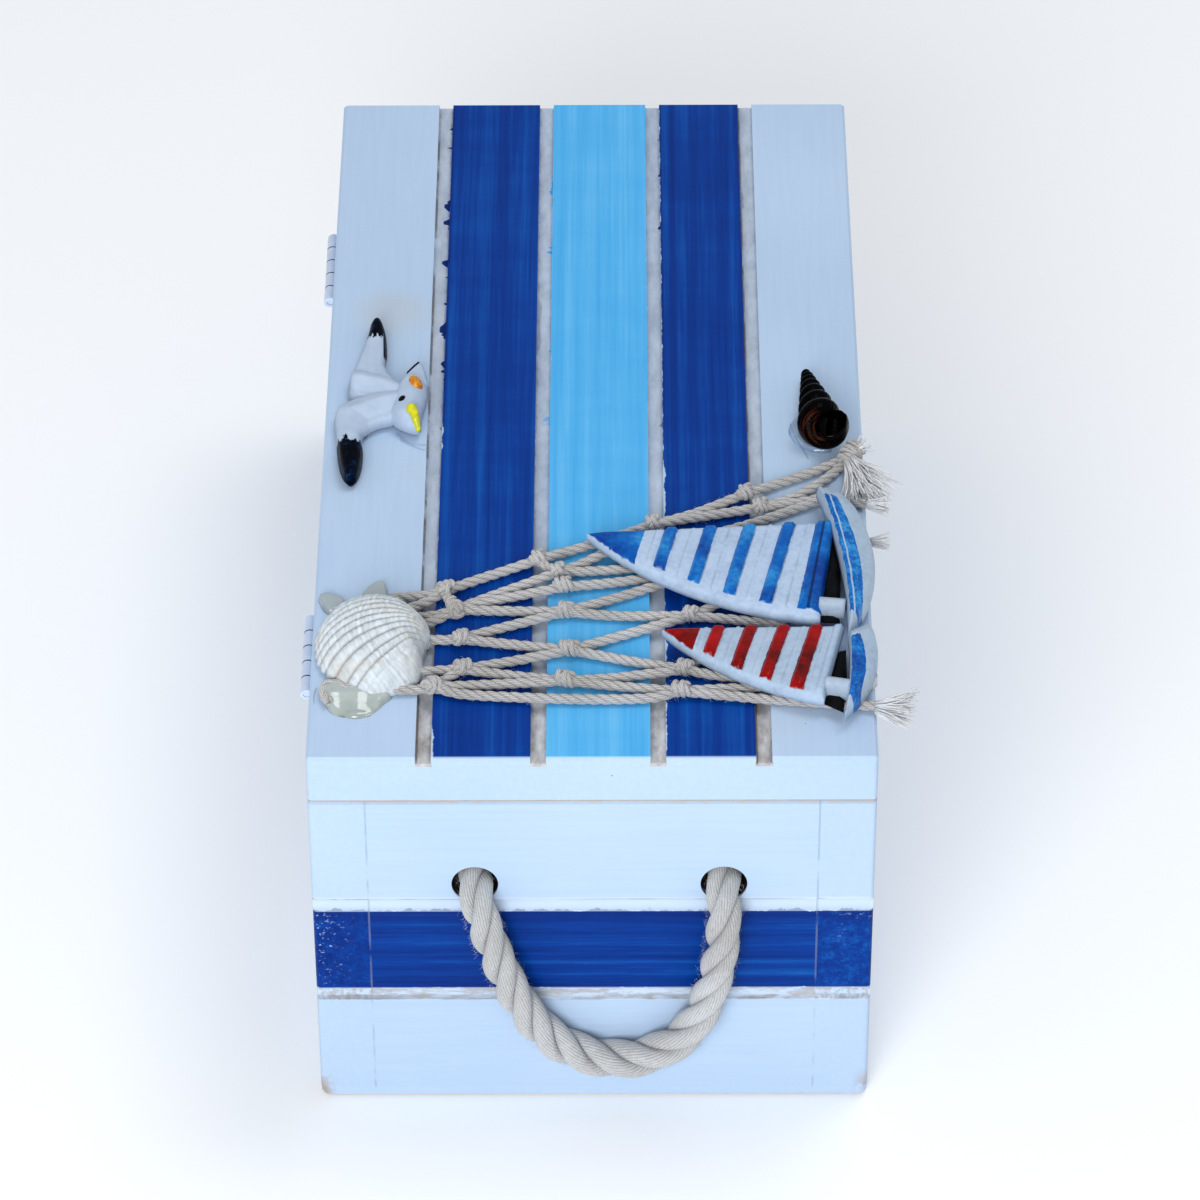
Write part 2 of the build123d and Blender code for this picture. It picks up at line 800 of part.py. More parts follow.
with BuildPart() as turret_glue:
    corner = (half_width - turret_from_side, front_y + turret_from_front, lid_top)
    with BuildSketch(Plane(origin=corner)):
        Circle(turret_glue_outer)
        Circle(turret_glue_inner, mode=Mode.SUBTRACT)
        Rectangle(
            turret_glue_outer,
            turret_glue_outer,
            align=(Align.MAX, Align.MAX),
            mode=Mode.INTERSECT,
        )
    extrude(amount=glue_height)


# ---------------------------------------------------------------- files
pieces = {
    "base_board": base_board.part,
    "hinge_side_board": side_board(-1),
    "opening_side_board": side_board(1),
    "front_end_panel": end_panel(-1),
    "rear_end_panel": end_panel(1),
    "front_hinge_box_leaf": hinge_leaf(hinge_centres_y[0], False),
    "rear_hinge_box_leaf": hinge_leaf(hinge_centres_y[1], False),
    "front_hinge_pin": hinge_pin(hinge_centres_y[0]),
    "rear_hinge_pin": hinge_pin(hinge_centres_y[1]),
    "box_leaf_screws": leaf_screws(False),
    "rope_through_left": rope_through_panel(hole_x[0]),
    "rope_through_right": rope_through_panel(hole_x[1]),
    "rope_knot_left": rope_knot(hole_x[0]),
    "rope_knot_right": rope_knot(hole_x[1]),
    "rope_loop": rope_loop.part,
    "lid_board": lid_board.part,
    "front_hinge_lid_leaf": hinge_leaf(hinge_centres_y[0], True),
    "rear_hinge_lid_leaf": hinge_leaf(hinge_centres_y[1], True),
    "lid_leaf_screws": leaf_screws(True),
    "fishing_net": fishing_net.part,
    "large_sailboat": large_sailboat,
    "small_sailboat": small_sailboat,
    "sailboat_glue": sailboat_glue.part,
    "seagull": seagull.part,
    "seagull_glue": seagull_glue.part,
    "cockle_shell": cockle_shell.part,
    "cockle_glue": cockle_glue.part,
    "turret_shell": turret_shell,
    "turret_glue": turret_glue.part,
}

os.makedirs("parts", exist_ok=True)
for name, piece in pieces.items():
    piece.label = name
    export_step(piece, f"parts/{name}.step")

print("rope bends, mm:", [round(radius, 1) for radius in corner_radii(loop_route)])
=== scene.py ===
"""Ditty box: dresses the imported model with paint, a rope handle, a net, boats, a gull, shells and hot glue."""
import math
import random

import bpy
import numpy as np
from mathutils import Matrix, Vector
from mathutils.geometry import delaunay_2d_cdt


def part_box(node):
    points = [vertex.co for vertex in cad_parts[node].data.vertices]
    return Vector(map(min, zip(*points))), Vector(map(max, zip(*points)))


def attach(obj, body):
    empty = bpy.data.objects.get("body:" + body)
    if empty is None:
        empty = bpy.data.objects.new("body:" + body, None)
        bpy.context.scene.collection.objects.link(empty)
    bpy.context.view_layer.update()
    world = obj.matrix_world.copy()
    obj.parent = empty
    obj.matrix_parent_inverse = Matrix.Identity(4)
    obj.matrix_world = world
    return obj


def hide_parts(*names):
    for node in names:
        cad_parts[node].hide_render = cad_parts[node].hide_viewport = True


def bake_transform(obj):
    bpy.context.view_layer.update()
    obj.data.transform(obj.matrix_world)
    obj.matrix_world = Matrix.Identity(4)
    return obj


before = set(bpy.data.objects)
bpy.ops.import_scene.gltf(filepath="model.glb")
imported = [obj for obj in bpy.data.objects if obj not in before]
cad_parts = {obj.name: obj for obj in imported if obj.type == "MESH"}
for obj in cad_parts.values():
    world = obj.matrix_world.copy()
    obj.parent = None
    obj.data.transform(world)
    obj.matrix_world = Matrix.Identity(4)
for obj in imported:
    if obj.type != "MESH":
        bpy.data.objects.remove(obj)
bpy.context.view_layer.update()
rng = random.Random(7)
MM = 0.001
TURN = 2 * math.pi
LID_TOP = 100.0  # mm
FRONT_END = -117.5  # mm
RIGHT_SIDE = 60.0  # mm
UP = np.array((0.0, 0.0, 1.0))


# ---------------------------------------------------------------- camera, floor and light
def make_camera():
    data = bpy.data.cameras.new("camera")
    data.sensor_fit = "HORIZONTAL"
    data.sensor_width = 36.0
    data.lens = 173.647
    data.clip_start = 0.05
    camera = bpy.data.objects.new("camera", data)
    bpy.context.scene.collection.objects.link(camera)
    camera.location = (0.005725, -1.017790, 0.909735)
    camera.rotation_euler = [math.radians(angle) for angle in (49.5991, 0.2214, 0.0591)]
    bpy.context.scene.camera = camera


def mesh_object(name, verts, faces, smooth=True, uvs=None):
    mesh = bpy.data.meshes.new(name)
    mesh.from_pydata([tuple(v) for v in verts], [], faces)
    mesh.update()
    if smooth:
        mesh.polygons.foreach_set("use_smooth", [True] * len(mesh.polygons))
    if uvs is not None:
        layer = mesh.uv_layers.new(name="UVMap")
        index = np.zeros(len(mesh.loops), np.int32)
        mesh.loops.foreach_get("vertex_index", index)
        layer.data.foreach_set("uv", np.asarray(uvs, np.float32)[index].ravel())
    made = bpy.data.objects.new(name, mesh)
    bpy.context.scene.collection.objects.link(made)
    return made


def make_floor():
    corners = [(-3, -2.5, 0), (3, -2.5, 0), (3, 4, 0), (-3, 4, 0)]
    floor = mesh_object("floor", corners, [(0, 1, 2, 3)], smooth=False)
    return floor


def area_light(name, place, size, power):
    """A round lamp that aims at the middle of the box."""
    data = bpy.data.lights.new(name, "AREA")
    data.shape = "DISK"
    data.size = size
    data.energy = power
    data.color = (0.96, 0.98, 1.0)
    light = bpy.data.objects.new(name, data)
    bpy.context.scene.collection.objects.link(light)
    light.location = place
    light.rotation_euler = (Vector((0, 0, 0.06)) - Vector(place)).to_track_quat("-Z", "Y").to_euler()


def make_world():
    world = bpy.data.worlds.new("studio")
    world.use_nodes = True
    back = world.node_tree.nodes["Background"]
    back.inputs["Color"].default_value = (0.93, 0.96, 1.0, 1)
    back.inputs["Strength"].default_value = 0.62
    bpy.context.scene.world = world
    bpy.context.scene.view_settings.view_transform = "Standard"
    bpy.context.scene.view_settings.look = "None"


make_camera()
floor = make_floor()
make_world()
area_light("key", (-0.25, -1.15, 0.62), 0.7, 11.0)
area_light("top", (0.35, 0.25, 1.35), 0.6, 4.5)


# ---------------------------------------------------------------- shader helpers
def connect(tree, value, socket):
    """Links a signal to a socket, or sets the socket to a number or a colour."""
    if isinstance(value, Signal):
        tree.links.new(value.socket, socket)
    elif socket.type == "RGBA":
        socket.default_value = (*value, 1)
    else:
        socket.default_value = value


class Signal:
    """A node's output. Its sums and products, and the larger of two (|), are math nodes."""

    def __init__(self, tree, socket):
        self.tree, self.socket = tree, socket

    def math(self, operation, other=0.0):
        node = self.tree.nodes.new("ShaderNodeMath")
        node.operation = operation
        connect(self.tree, self, node.inputs[0])
        connect(self.tree, other, node.inputs[1])
        return Signal(self.tree, node.outputs[0])

    def __add__(self, other):
        return self.math("ADD", other)

    def __sub__(self, other):
        return self.math("SUBTRACT", other)

    def __mul__(self, other):
        return self.math("MULTIPLY", other)

    def __or__(self, other):
        return self.math("MAXIMUM", other)

    def __abs__(self):
        return self.math("ABSOLUTE")

    def clamped(self):
        """The same sum, held between 0 and 1."""
        self.socket.node.use_clamp = True
        return self


def largest(masks):
    """The largest of several masks at each place."""
    first, *others = masks
    for mask in others:
        first = first | mask
    return first


class Paint:
    """Builds one node material; lengths are in metres."""

    def __init__(self, name):
        self.material = bpy.data.materials.new(name)
        self.material.use_nodes = True
        self.tree = self.material.node_tree
        self.tree.nodes.clear()
        output = self.tree.nodes.new("ShaderNodeOutputMaterial")
        self.shader = self.tree.nodes.new("ShaderNodeBsdfPrincipled")
        self.tree.links.new(self.shader.outputs[0], output.inputs[0])
        sources = self.tree.nodes.new("ShaderNodeTexCoord").outputs
        self.place = Signal(self.tree, sources["Object"])
        self.uv = Signal(self.tree, sources["UV"])

    def node(self, kind, inputs, **settings):
        """Adds a node and returns its outputs."""
        made = self.tree.nodes.new("ShaderNode" + kind)
        for key, value in settings.items():
            setattr(made, key, value)
        for key, value in inputs.items():
            connect(self.tree, value, made.inputs[key])
        return [Signal(self.tree, socket) for socket in made.outputs]

    def axes(self, vector=None):
        return self.node("SeparateXYZ", {0: vector or self.place})

    def vector(self, x, y, z):
        return self.node("CombineXYZ", {0: x, 1: y, 2: z})[0]

    def noise(self, scale, detail=3, rough=0.5, grain=None, at=None):
        """Noise over the object, or at a vector; a grain below 1 draws it out along that axis."""
        vector = at or self.place
        if grain:
            vector = self.node("Mapping", {"Vector": vector, "Scale": grain})[0]
        inputs = {"Vector": vector, "Scale": scale, "Detail": detail, "Roughness": rough}
        return self.node("TexNoise", inputs)[0]

    def step(self, value, low, high, out_low=0.0, out_high=1.0):
        """Rises smoothly from out_low at low to out_high at high; low may be above high."""
        ends = {"Value": value, "From Min": low, "From Max": high, "To Min": out_low, "To Max": out_high}
        return self.node("MapRange", ends, interpolation_type="SMOOTHSTEP")[0]

    def inside(self, value, low, high, soft):
        """1 between low and high, falling to 0 over soft outside them."""
        return self.step(value, low - soft, low) * self.step(value, high, high + soft, 1.0, 0.0)

    def patches(self, scale, detail, rough, low, high, grain=None):
        """A mask of the places where noise passes from low to high."""
        return self.step(self.noise(scale, detail, rough, grain), low, high)

    def ragged(self, scale, detail, rough, reach, grain=None):
        """Noise about 0, which frays an edge."""
        return (self.noise(scale, detail, rough, grain) - 0.5) * reach

    def flecks(self, scale, share):
        """Small sparse marks."""
        spots = self.node("TexVoronoi", {"Vector": self.place, "Scale": scale})[0]
        return self.step(spots, 0.02, 0.05, 1.0, 0.0) * self.patches(scale * 0.6, 1, 0.5, share, share + 0.02)

    def distance(self, x, y, place_x, place_y):
        dx, dy = x - place_x, y - place_y
        return (dx * dx + dy * dy).math("SQRT")

    def mix(self, share, a, b):
        return self.node("Mix", {0: share, 6: a, 7: b}, data_type="RGBA")[2]

    def ramp(self, value, *stops):
        """Colours along a value; each stop is (value, red, green, blue)."""
        colour = self.node("ValToRGB", {0: value})[0]
        elements = colour.socket.node.color_ramp.elements
        while len(elements) < len(stops):
            elements.new(0.5)
        for element, (place, *shade) in zip(elements, stops):
            element.position = place
            element.color = (*shade, 1)
        return colour

    def finish(self, colour, rough, height, depth, strength, **more):
        """Feeds the shader, with a bump of some depth and strength from height."""
        bump = self.node("Bump", {"Height": height, "Distance": depth, "Strength": strength})[0]
        inputs = {"Base Color": colour, "Roughness": rough, "Normal": bump}
        inputs.update({key.replace("_", " "): value for key, value in more.items()})
        for key, value in inputs.items():
            connect(self.tree, value, self.shader.inputs[key])
        return self.material


# ---------------------------------------------------------------- rope and cord making
STRANDS_ACROSS = 2.1547  # a three-strand rope's diameter in strands
STRAND_SWELL = 1.05  # the strands press into one another
FLAT_FROM, FLAT_BY = 0.84, 0.62  # past this share of a rope's radius its strands are pressed flat


def spline_line(points):
    """Points along the smooth line of a NURBS curve through these control points, in metres."""
    curve = bpy.data.curves.new("route", "CURVE")
    curve.dimensions = "3D"
    curve.resolution_u = 30
    spline = curve.splines.new("NURBS")
    spline.points.add(len(points) - 1)
    for point, place in zip(spline.points, points):
        point.co = (*place, 1)
    spline.order_u = 3
    spline.use_endpoint_u = True
    holder = bpy.data.objects.new("route", curve)
    mesh = bpy.data.meshes.new_from_object(holder)
    line = np.array([v.co for v in mesh.vertices], float)
    bpy.data.meshes.remove(mesh)
    bpy.data.objects.remove(holder)
    bpy.data.curves.remove(curve)
    return line


def run_length(line):
    """Each point's distance along a line."""
    return np.concatenate([[0], np.cumsum(np.linalg.norm(np.diff(line, axis=0), axis=1))])


def read_at(line, at):
    run = run_length(line)
    return np.stack([np.interp(at, run, column) for column in line.T], 1)


def even(line, step):
    """The same line, read at equal steps along it."""
    length = run_length(line)[-1]
    return read_at(line, np.linspace(0, length, max(3, int(length / step) + 1)))


def unit(vectors):
    return vectors / np.maximum(np.linalg.norm(vectors, axis=-1, keepdims=True), 1e-12)


def frames(line):
    """Tangent, normal and side of a line, carried along it without twist."""
    tangent = unit(np.gradient(line, axis=0))
    first = np.cross(tangent[0], UP)
    if np.linalg.norm(first) < 0.1:
        first = np.cross(tangent[0], (1.0, 0.0, 0.0))
    normal = [unit(first)]
    for t in tangent[1:]:
        n = normal[-1] - t * (normal[-1] @ t)
        normal.append(n / np.linalg.norm(n))
    normal = np.array(normal)
    return tangent, normal, np.cross(tangent, normal)


def tube(line, radius, sides):
    """Rings of points round a line, one radius for each of its points."""
    _, normal, side = frames(line)
    around = np.linspace(0, TURN, sides, endpoint=False)[None, :, None]
    out = np.cos(around) * normal[:, None] + np.sin(around) * side[:, None]
    return line[:, None] + radius[:, None, None] * out


class Soup:
    """Collects verts, faces and UVs of many small parts for one mesh."""

    def __init__(self):
        self.verts, self.faces, self.uvs, self.count = [], [], [], 0
        self.loose = []

    def add(self, verts, uvs):
        """Adds vertices and returns the first one's number."""
        self.verts.append(verts)
        self.uvs.append(uvs)
        self.count += len(verts)
        return self.count - len(verts)

    def grid(self, points, uvs):
        """Adds a capped tube; points is (rings, points of a ring, 3)."""
        rows, columns = points.shape[:2]
        start = self.add(points.reshape(-1, 3), uvs.reshape(-1, 2))
        for r in range(rows - 1):
            a = start + r * columns
            for c in range(columns):
                d = (c + 1) % columns
                self.faces.append((a + c, a + d, a + columns + d, a + columns + c))
        self.faces.append(tuple(start + c for c in reversed(range(columns))))
        self.faces.append(tuple(start + (rows - 1) * columns + c for c in range(columns)))

    def make(self, name, *materials):
        """Makes the mesh; its loose fibres take the second material."""
        made = mesh_object(name, np.concatenate(self.verts), self.faces, True, np.concatenate(self.uvs))
        for material in materials:
            made.data.materials.append(material)
        for first, last in self.loose:
            for face in made.data.polygons[first:last]:
                face.material_index = 1
        return made


def laid(soup, line, diameter, lay, sides, yarns=0, swell=1.0, phase=0.0, taper=0):
    """Adds three right-hand laid strands along an even line."""
    _, normal, side = frames(line)
    run = run_length(line)
    outer = diameter / 2 * swell * np.ones(len(line))
    if taper:
        ends = np.minimum(np.minimum(run, run[-1] - run) / taper, 1)
        outer = outer * np.sqrt(np.clip(ends, 0.02, 1))
    strand = outer / STRANDS_ACROSS
    helix = outer - strand
    around = np.linspace(-np.pi, np.pi, sides, endpoint=False)
    rate = -STRANDS_ACROSS * TURN / lay
    for k in range(3):
        turn = phase + TURN * (k / 3 + run / lay)
        out = np.cos(turn)[:, None] * normal + np.sin(turn)[:, None] * side
        centre = line + helix[:, None] * out
        along = unit(np.gradient(centre, axis=0))
        radial = unit(out - along * np.sum(out * along, 1, keepdims=True))
        across = np.cross(along, radial)
        radius = np.repeat(strand[:, None] * STRAND_SWELL, sides, 1)
        twist = (yarns or 6) * (around[None] - rate * run[:, None] + k)
        if yarns:
            radius = radius * (1 - 0.1 * (0.5 - 0.5 * np.cos(twist)))
        points = (
            centre[:, None]
            + radius[..., None] * np.cos(around)[None, :, None] * radial[:, None]
            + radius[..., None] * np.sin(around)[None, :, None] * across[:, None]
        )
        away = np.linalg.norm(points - line[:, None], axis=2)
        share = away / outer[:, None]
        squeezed = np.where(share > FLAT_FROM, FLAT_FROM + FLAT_BY * (share - FLAT_FROM), share)
        points = line[:, None] + (points - line[:, None]) * (squeezed * outer[:, None] / away)[..., None]
        soup.grid(points, np.stack([twist / TURN, np.repeat(run[:, None] * 100, sides, 1)], 2))


def fibre(soup, places, radius, sides=4):
    """Adds one thin tapering fibre through some places."""
    line = np.array(places, float)
    around = np.linspace(0, 1, sides, endpoint=False)
    run = run_length(line)
    uvs = np.stack([np.repeat(around[None], len(line), 0), np.repeat(run[:, None] * 100, sides, 1)], 2)
    soup.grid(tube(line, radius * np.linspace(1, 0.45, len(line)), sides), uvs)


def fuzz(soup, line, radius, count, length, thick):
    """Adds short stray fibres that stand off a cord."""
    first = len(soup.faces)
    tangent, normal, side = frames(line)
    for _ in range(count):
        i = rng.randrange(2, len(line) - 2)
        turn = rng.uniform(0, TURN)
        out = math.cos(turn) * normal[i] + math.sin(turn) * side[i]
        lean = tangent[i] * rng.uniform(-1.2, 1.2)
        reach = length * rng.uniform(0.4, 1.0)
        foot = line[i] + out * radius * 0.9
        middle = foot + (out * 0.6 + lean * 0.6) * reach * 0.5
        tip = middle + (out * rng.uniform(-0.1, 0.8) + lean) * reach * 0.5
        fibre(soup, [foot, middle, tip], thick, 3)
    soup.loose.append((first, len(soup.faces)))


def fray(soup, foot, aim, count, length, spread, thick, floor_z=-1.0):
    """Adds a brush of fibres from a cord's cut end, none below floor_z."""
    first_face = len(soup.faces)
    aim = unit(np.array(aim, float))
    first = unit(np.cross(aim, (0.1, 0.2, 1.0)))
    second = np.cross(aim, first)
    for _ in range(count):
        turn = rng.uniform(0, TURN)
        away = (math.cos(turn) * first + math.sin(turn) * second) * spread * rng.uniform(0.1, 1) ** 0.7
        start = np.array(foot) + away * 0.35 * length
        bend = rng.uniform(-0.25, 0.25) * first + rng.uniform(-0.2, 0.1) * second
        reach = length * rng.uniform(0.65, 1.0)
        places = [start + (aim + away) * reach * share + bend * reach * share**2 for share in (0, 0.35, 0.7, 1)]
        fibre(soup, [(x, y, max(z, floor_z + thick)) for x, y, z in places], thick)
    soup.loose.append((first_face, len(soup.faces)))


def cotton(name, light, dark, scale=1.0):
    """Cotton yarn; the U of the strands counts their yarns, and V runs along them."""
    p = Paint(name)
    u, v, _ = p.axes(p.uv)
    streaks = p.noise(9, 4, 0.6, at=p.vector(u * 0.8, v * 0.9, 0.0))
    fine = p.noise(2600 * scale, 3, 0.6)
    yarn = (u * TURN).math("COSINE")
    # Painted shade: the tone darkens in the grooves between the yarns.
    tone = streaks * 0.55 + fine * 0.25 + p.noise(60) * 0.3 - p.step(yarn, -0.45, -0.95) * 0.16
    colour = p.ramp(tone.clamped(), (0.34, *dark), (0.62, *light))
    height = streaks * 0.6 + fine * 0.3 + yarn * 0.35
    return p.finish(colour, 0.92, height, 0.00016 / scale, 0.9,
                    Sheen_Weight=0.35, Sheen_Roughness=0.6, Specular_IOR_Level=0.2)


rope_cotton = cotton("cotton_rope", (0.58, 0.60, 0.62), (0.27, 0.25, 0.23))
# Painted light: loose fibres and fuzz take a far lighter copy of the cotton, making up for the fibres shading
# one another.
lit_loose_cotton = cotton("lit_loose_cotton", (0.97, 0.98, 1.0), (0.74, 0.74, 0.75))
net_cotton = cotton("net_cotton", (0.56, 0.555, 0.56), (0.21, 0.18, 0.15), 1.6)


# ---------------------------------------------------------------- rope handle
HOLE_LEFT, HOLE_RIGHT, HOLE_Z = -0.02515, 0.02795, 0.0644  # the middles of the rope in its holes
LOOP_Y = -0.1218  # the hanging rope's middle, before the front end
ROPE, ROPE_LAY = 0.0080, 0.028  # the rope's diameter, and the length of one turn of its strands
rope_route = [
    (HOLE_LEFT, -0.0960, HOLE_Z),
    (HOLE_LEFT, -0.1030, HOLE_Z),
    (HOLE_LEFT, LOOP_Y, HOLE_Z),
    (-0.0219, LOOP_Y, 0.0508),
    (-0.0172, LOOP_Y, 0.0354),
    (-0.0106, LOOP_Y, 0.0229),
    (-0.0012, LOOP_Y, 0.0162),
    (0.0096, LOOP_Y, 0.0156),
    (0.0186, LOOP_Y, 0.0209),
    (0.0243, LOOP_Y, 0.0312),
    (0.0278, LOOP_Y, 0.0482),
    (HOLE_RIGHT, LOOP_Y, HOLE_Z),
    (HOLE_RIGHT, -0.1030, HOLE_Z),
    (HOLE_RIGHT, -0.0960, HOLE_Z),
]


def rope_knot(name, x, phase):
    """A rope's barrel knot inside the front panel: two turns round the rope, and a frayed tail."""
    soup = Soup()
    tail = even(np.array([(x, -0.0985, HOLE_Z), (x, -0.0915, 0.0643), (x, -0.0845, 0.0636)]), 0.0004)
    laid(soup, tail, 0.0078, 0.026, 36, yarns=7, phase=phase)
    route = []
    for share in np.linspace(0, 1, 16):
        angle = phase + TURN * 2.3 * share
        reach = 0.0060 if 0.06 < share < 0.94 else 0.0040
        route.append((x + reach * math.cos(angle), -0.1022 + 0.0072 * share, HOLE_Z + reach * math.sin(angle)))
    laid(soup, even(spline_line(route), 0.0004), 0.0053, 0.019, 30, yarns=6, phase=phase)
    fray(soup, (x, -0.0850, 0.0637), (0, 1, -0.1), 90, 0.0032, 0.55, 0.00016)
    return soup.make(name, rope_cotton, lit_loose_cotton)


def rope_handle():
    line = even(spline_line(rope_route), 0.00045)
    run = run_length(line)
    swell = 1 + 0.16 * np.exp(-(((run / run[-1] - 0.5) / 0.16) ** 2))
    soup = Soup()
    laid(soup, line, ROPE, ROPE_LAY, 96, yarns=17, swell=swell, phase=0.6)
    fuzz(soup, line, ROPE / 2, 2600, 0.0021, 0.000020)
    rope = soup.make("rope_handle", rope_cotton, lit_loose_cotton)
    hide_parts("rope_loop", "rope_through_left", "rope_through_right")
    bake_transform(rope)
    for side, x, phase in (("left", HOLE_LEFT, 0.4), ("right", HOLE_RIGHT, 2.1)):
        knot = rope_knot("knot_" + side, x, phase)
        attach(knot, "box")
        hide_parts("rope_knot_" + side)


rope_handle()


# ---------------------------------------------------------------- net
CORD, CORD_LAY = 0.0024, 0.0078  # the cord's diameter, and the length of one turn of its strands
KNOT_CORD, KNOT_LAY = 0.0022, 0.0075  # the same where a knot draws it tight
CORD_HIGH = 1.27  # mm from the lid to the cord's middle
net_places = {  # mm to the right of the middle, and mm from the front end
    "a1": (-32.0, 52.3), "a2": (-29.5, 46.1), "a3": (-28.2, 36.5), "a4": (-27.8, 26.7), "a5": (-34.0, 20.9),
    "b0": (-11.8, 62.9), "b1": (-7.5, 58.6), "b2": (-6.2, 53.7), "b3": (-5.8, 45.5), "b4": (-4.6, 32.9),
    "b5": (-5.6, 22.9), "c1": (13.2, 74.7), "c2": (21.0, 43.9), "c3": (19.6, 26.5), "c4": (18.8, 19.5),
    "d1": (33.6, 85.3), "d2": (36.8, 80.5),
    "bunch": (57.6, 98.4), "bend1": (50.5, 87.9), "bend2": (-24.6, 17.6), "bend3": (7.6, 16.4),
    "under1": (4.0, 66.2), "under2": (14.0, 60.6), "under3": (18.6, 58.2), "under4": (22.6, 58.8),
    "under5": (28.8, 49.6), "under6": (41.5, 41.3), "under7": (25.0, 31.4), "under8": (34.0, 23.6),
    "under9": (35.6, 20.8), "under10": (51.6, 83.9), "under11": (24.0, 70.4), "under12": (44.0, 66.0),
    "tail1": (60.0, 81.8), "tail2": (60.0, 69.1), "tail3": (60.0, 14.6),
    "rim1": (-43.6, 50.2), "rim2": (-40.6, 46.0), "rim3": (-38.5, 43.4), "rim4": (-37.6, 40.4),
    "rim5": (-38.6, 37.2), "rim6": (-41.5, 25.4), "rim7": (-40.6, 20.4), "rim8": (-47.5, 20.6),
    "rim9": (-52.8, 21.0), "curl1": (-55.2, 23.2), "curl2": (-57.0, 21.0), "curl3": (-56.5, 18.6),
    "curl4": (-55.4, 16.2),
}
net_links = [
    ("a1", "b0"), ("a1", "a2"), ("a2", "b1"), ("a2", "b2"), ("a2", "b3"), ("a3", "b3"), ("a3", "b4"),
    ("a4", "b4"), ("a4", "b5"), ("a4", "a5"), ("a5", "b5"), ("a5", "bend2", "bend3", "c4"),
    ("b0", "c1"), ("b0", "b1"), ("b1", "under1"), ("b1", "under2"), ("b2", "under3"),
    ("b3", "under4"), ("b3", "c2"), ("b4", "c2"), ("b4", "c3"), ("b5", "c3"), ("b5", "c4"), ("c1", "d1"),
    ("c1", "d2"), ("c2", "under5"), ("c2", "under6"), ("c3", "under7"), ("c3", "under8"), ("c4", "under9"),
    ("c4", "tail3"), ("d1", "bunch"), ("d2", "bend1", "bunch"), ("d2", "under10"),
    ("under11", "under10"), ("under10", "tail1"), ("under12", "tail2"),
    ("a1", "rim1"), ("a1", "rim2"), ("a2", "rim3"), ("a2", "rim4"), ("a3", "rim5"), ("a4", "rim6"),
    ("a5", "rim7", "rim8", "rim9", "curl1", "curl2", "curl3", "curl4"),
]
net_tails = (  # end, heading in degrees, fibres, their length and spread
    ("tail1", -14, 70, 0.0055, 0.40), ("tail2", -8, 70, 0.0050, 0.38), ("tail3", -18, 150, 0.0085, 0.50),
)


def on_lid(place, height):
    """A place of the net in metres, at a height in mm above the lid."""
    return np.array((place[0], place[1] + FRONT_END, LID_TOP + height)) * MM


def net_cord(soup, places):
    line = even(spline_line(places), 0.00036)
    laid(soup, line, CORD, CORD_LAY, 9, phase=rng.uniform(0, 6))
    fuzz(soup, line, CORD / 2, max(6, int(run_length(line)[-1] * 2400)), 0.0013, 0.000018)


def net_knot(soup, place, toward, size):
    """A netting knot, size mm wide: cord wrapped round the crossing cords, with one turn over it."""
    aim = unit(on_lid(toward, 0) - on_lid(place, 0))
    across = np.cross(UP, aim)
    middle = on_lid(place, size * 0.5 + 0.05)
    width = size * MM
    start = rng.uniform(0, 6)
    route = []
    for share in np.linspace(0, 1, 15):
        turn = start + TURN * 1.9 * share
        along = (share - 0.5) * width * 0.62 + 0.0005 * math.sin(turn)
        out = across * math.cos(turn) + UP * math.sin(turn)
        route.append(middle + aim * along + out * (width - KNOT_CORD) * 0.5)
    line = even(spline_line(route), 0.00034)
    laid(soup, line, KNOT_CORD, KNOT_LAY, 9, phase=rng.uniform(0, 6), taper=0.0006)
    bow = [
        middle - aim * width * 0.42 - across * 0.0011,
        middle + UP * (width * 0.5 - 0.0009) + aim * 0.0003,
        middle + aim * width * 0.42 + across * 0.0012,
    ]
    laid(soup, even(spline_line(bow), 0.00034), KNOT_CORD, KNOT_LAY, 9, taper=0.0006)
    fuzz(soup, line, CORD / 2, 16, 0.0012, 0.000025)


def fishing_net():
    soup = Soup()
    lift = UP * 0.0003
    for link in net_links:
        stops = [on_lid(net_places[name], CORD_HIGH) for name in link]
        route = [stops[0] + lift]
        for a, b in zip(stops, stops[1:]):
            slack = min(0.0008, np.linalg.norm(b - a) * 0.04) * rng.uniform(-1, 1)
            side = unit(np.cross(UP, b - a)) * slack
            route += [a * 0.68 + b * 0.32 + side, a * 0.32 + b * 0.68 + side * rng.uniform(0.2, 1)]
        net_cord(soup, route + [stops[-1] + lift])
    for name in net_places:
        if name[0] in "abcd" and name[1].isdigit():
            link = next(link for link in net_links if name in link)
            net_knot(soup, net_places[name], net_places[link[1] if link[0] == name else link[0]], 4.3)
    net_knot(soup, net_places["bunch"], net_places["bend1"], 5.6)
    net_knot(soup, (56.6, 96.4), net_places["bend1"], 4.9)
    floor_z = LID_TOP * MM
    for name, heading, count, length, spread in net_tails:
        turn = math.radians(heading)
        aim = (math.cos(turn), math.sin(turn), 0.05)
        fray(soup, on_lid(net_places[name], CORD_HIGH), aim, count, length, spread, 0.00021, floor_z)
    fray(soup, on_lid((57.8, 98.0), 3.2), (0.75, 0.5, 0.25), 40, 0.0042, 0.5, 0.00018, floor_z)
    fray(soup, on_lid((57.0, 95.5), 2.6), (0.36, -0.93, 0.0), 210, 0.0150, 0.30, 0.00021, floor_z)
    net = soup.make("net", net_cotton, lit_loose_cotton)
    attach(net, "lid")
    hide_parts("fishing_net")


fishing_net()


